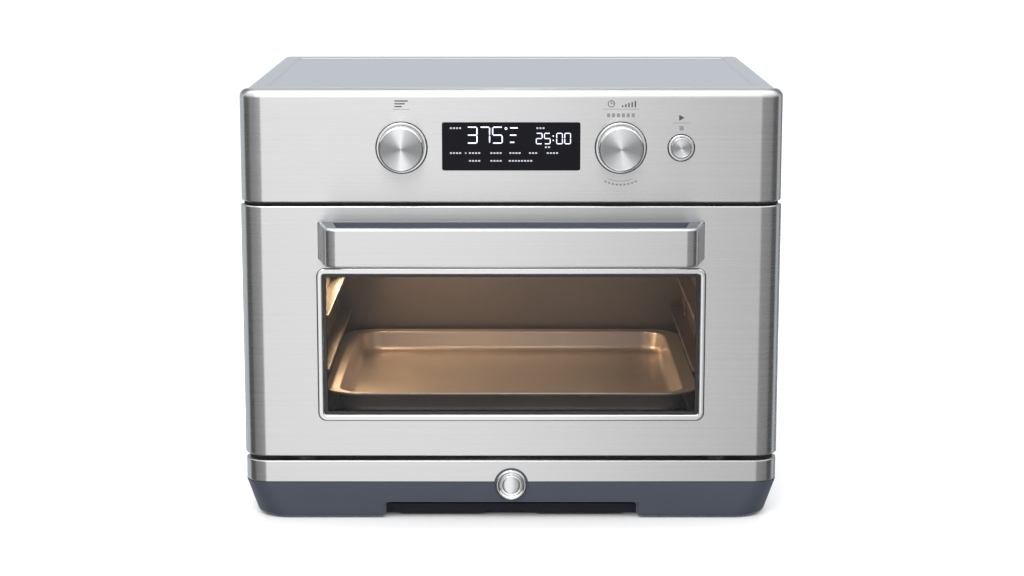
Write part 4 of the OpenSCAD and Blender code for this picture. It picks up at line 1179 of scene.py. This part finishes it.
def studio_light():
    """A white room with soft boxes: brighter to the front left, dark cards at both sides, a
    cool wall behind, and white overhead."""
    world = bpy.data.worlds.new("studio")
    bpy.context.scene.world = world
    world.use_nodes = True
    room = Nodes(world.node_tree)
    way = room.node("TexCoord", output=0)
    x, y, z = (room.part(way, axis) for axis in "XYZ")
    turn = x.math("ARCTAN2", y * -1.0) * (180 / math.pi)
    off = turn.math("ABSOLUTE")
    right = turn.over(0, 60)
    level = 0.94 - (turn - 1.0).math("DIVIDE", 5.0, clamp=True) * 0.42
    for edge, soft, strength in ((13, 5, 0.21), (45, 50, 0.17), (70, 6, 0.03)):
        level = level + off.over(edge, soft) * (strength - level)
    level = level + off.over(105, 8) * (0.65 - right * 0.1 - level)
    level = level + off.over(136, 8) * right * (0.04 - level)
    level = level + off.over(150, 6) * (0.96 - level)
    behind = off.over(110, 30)
    high = z.over(0.66, 0.1)
    ceiling = z.over(0.22, 0.12) * (1.0 - behind) + high * behind
    shade = z.over(0.24, 0.1) * behind
    level = level + shade * (0.22 - level)
    level = level + ceiling * (high * 0.5 + (1.0 - level))
    cool = behind * (1.0 - shade)
    color = room.mix(cool, (1.0, 1.0, 1.0), (0.83, 0.90, 0.97))
    background = world.node_tree.nodes["Background"]
    plug(world.node_tree, background.inputs["Color"], color)
    plug(world.node_tree, background.inputs["Strength"], level)


def lamp(name, place, aim, power, color, size):
    """A flat light at a place, turned towards a point."""
    data = bpy.data.lights.new(name, "AREA")
    data.energy, data.color = power, color
    data.shape, data.size, data.size_y = "RECTANGLE", *size
    thing = added(name, data)
    thing.location = place
    thing.rotation_euler = (Vector(aim) - Vector(place)).to_track_quat("-Z", "Y").to_euler()


floor()
studio_light()
bulb = Place("lamp_bulb")
cavity = Place("cavity_liner")
lamp("key_light", (-0.5, -1.3, 1.9), (0, 0, 0.15), 14, (1, 1, 1), (1.4, 1.4))
lamp("oven_lamp", (cavity.x0 + 16 * MM, bulb.y - 0.03, bulb.z - 8 * MM),
     (cavity.x1, cavity.y - 0.03, cavity.z), 0.5, (1.0, 0.70, 0.42), (0.03, 0.03))
lamp("cavity_glow", (0, cavity.y0 + 0.06, cavity.z1 - 12 * MM),
     (0, cavity.y0 + 0.12, cavity.z0), 0.2, (1.0, 0.78, 0.6), (0.2, 0.05))


def place_camera():
    """The camera: a long lens 1.82 m before the door, looking down by 10.4 degrees."""
    back, height, pitch, lens, width = 1.8186, 0.5305, 10.4, 78.75, 36
    data = bpy.data.cameras.new("camera")
    data.lens, data.sensor_width = lens, width
    data.shift_x = 0.0008
    thing = added("camera", data)
    thing.location = (0, FACE - back, height)
    thing.rotation_euler = (math.radians(90 - pitch), 0, 0)
    bpy.context.scene.camera = thing


place_camera()
bpy.context.scene.view_settings.view_transform = "Standard"
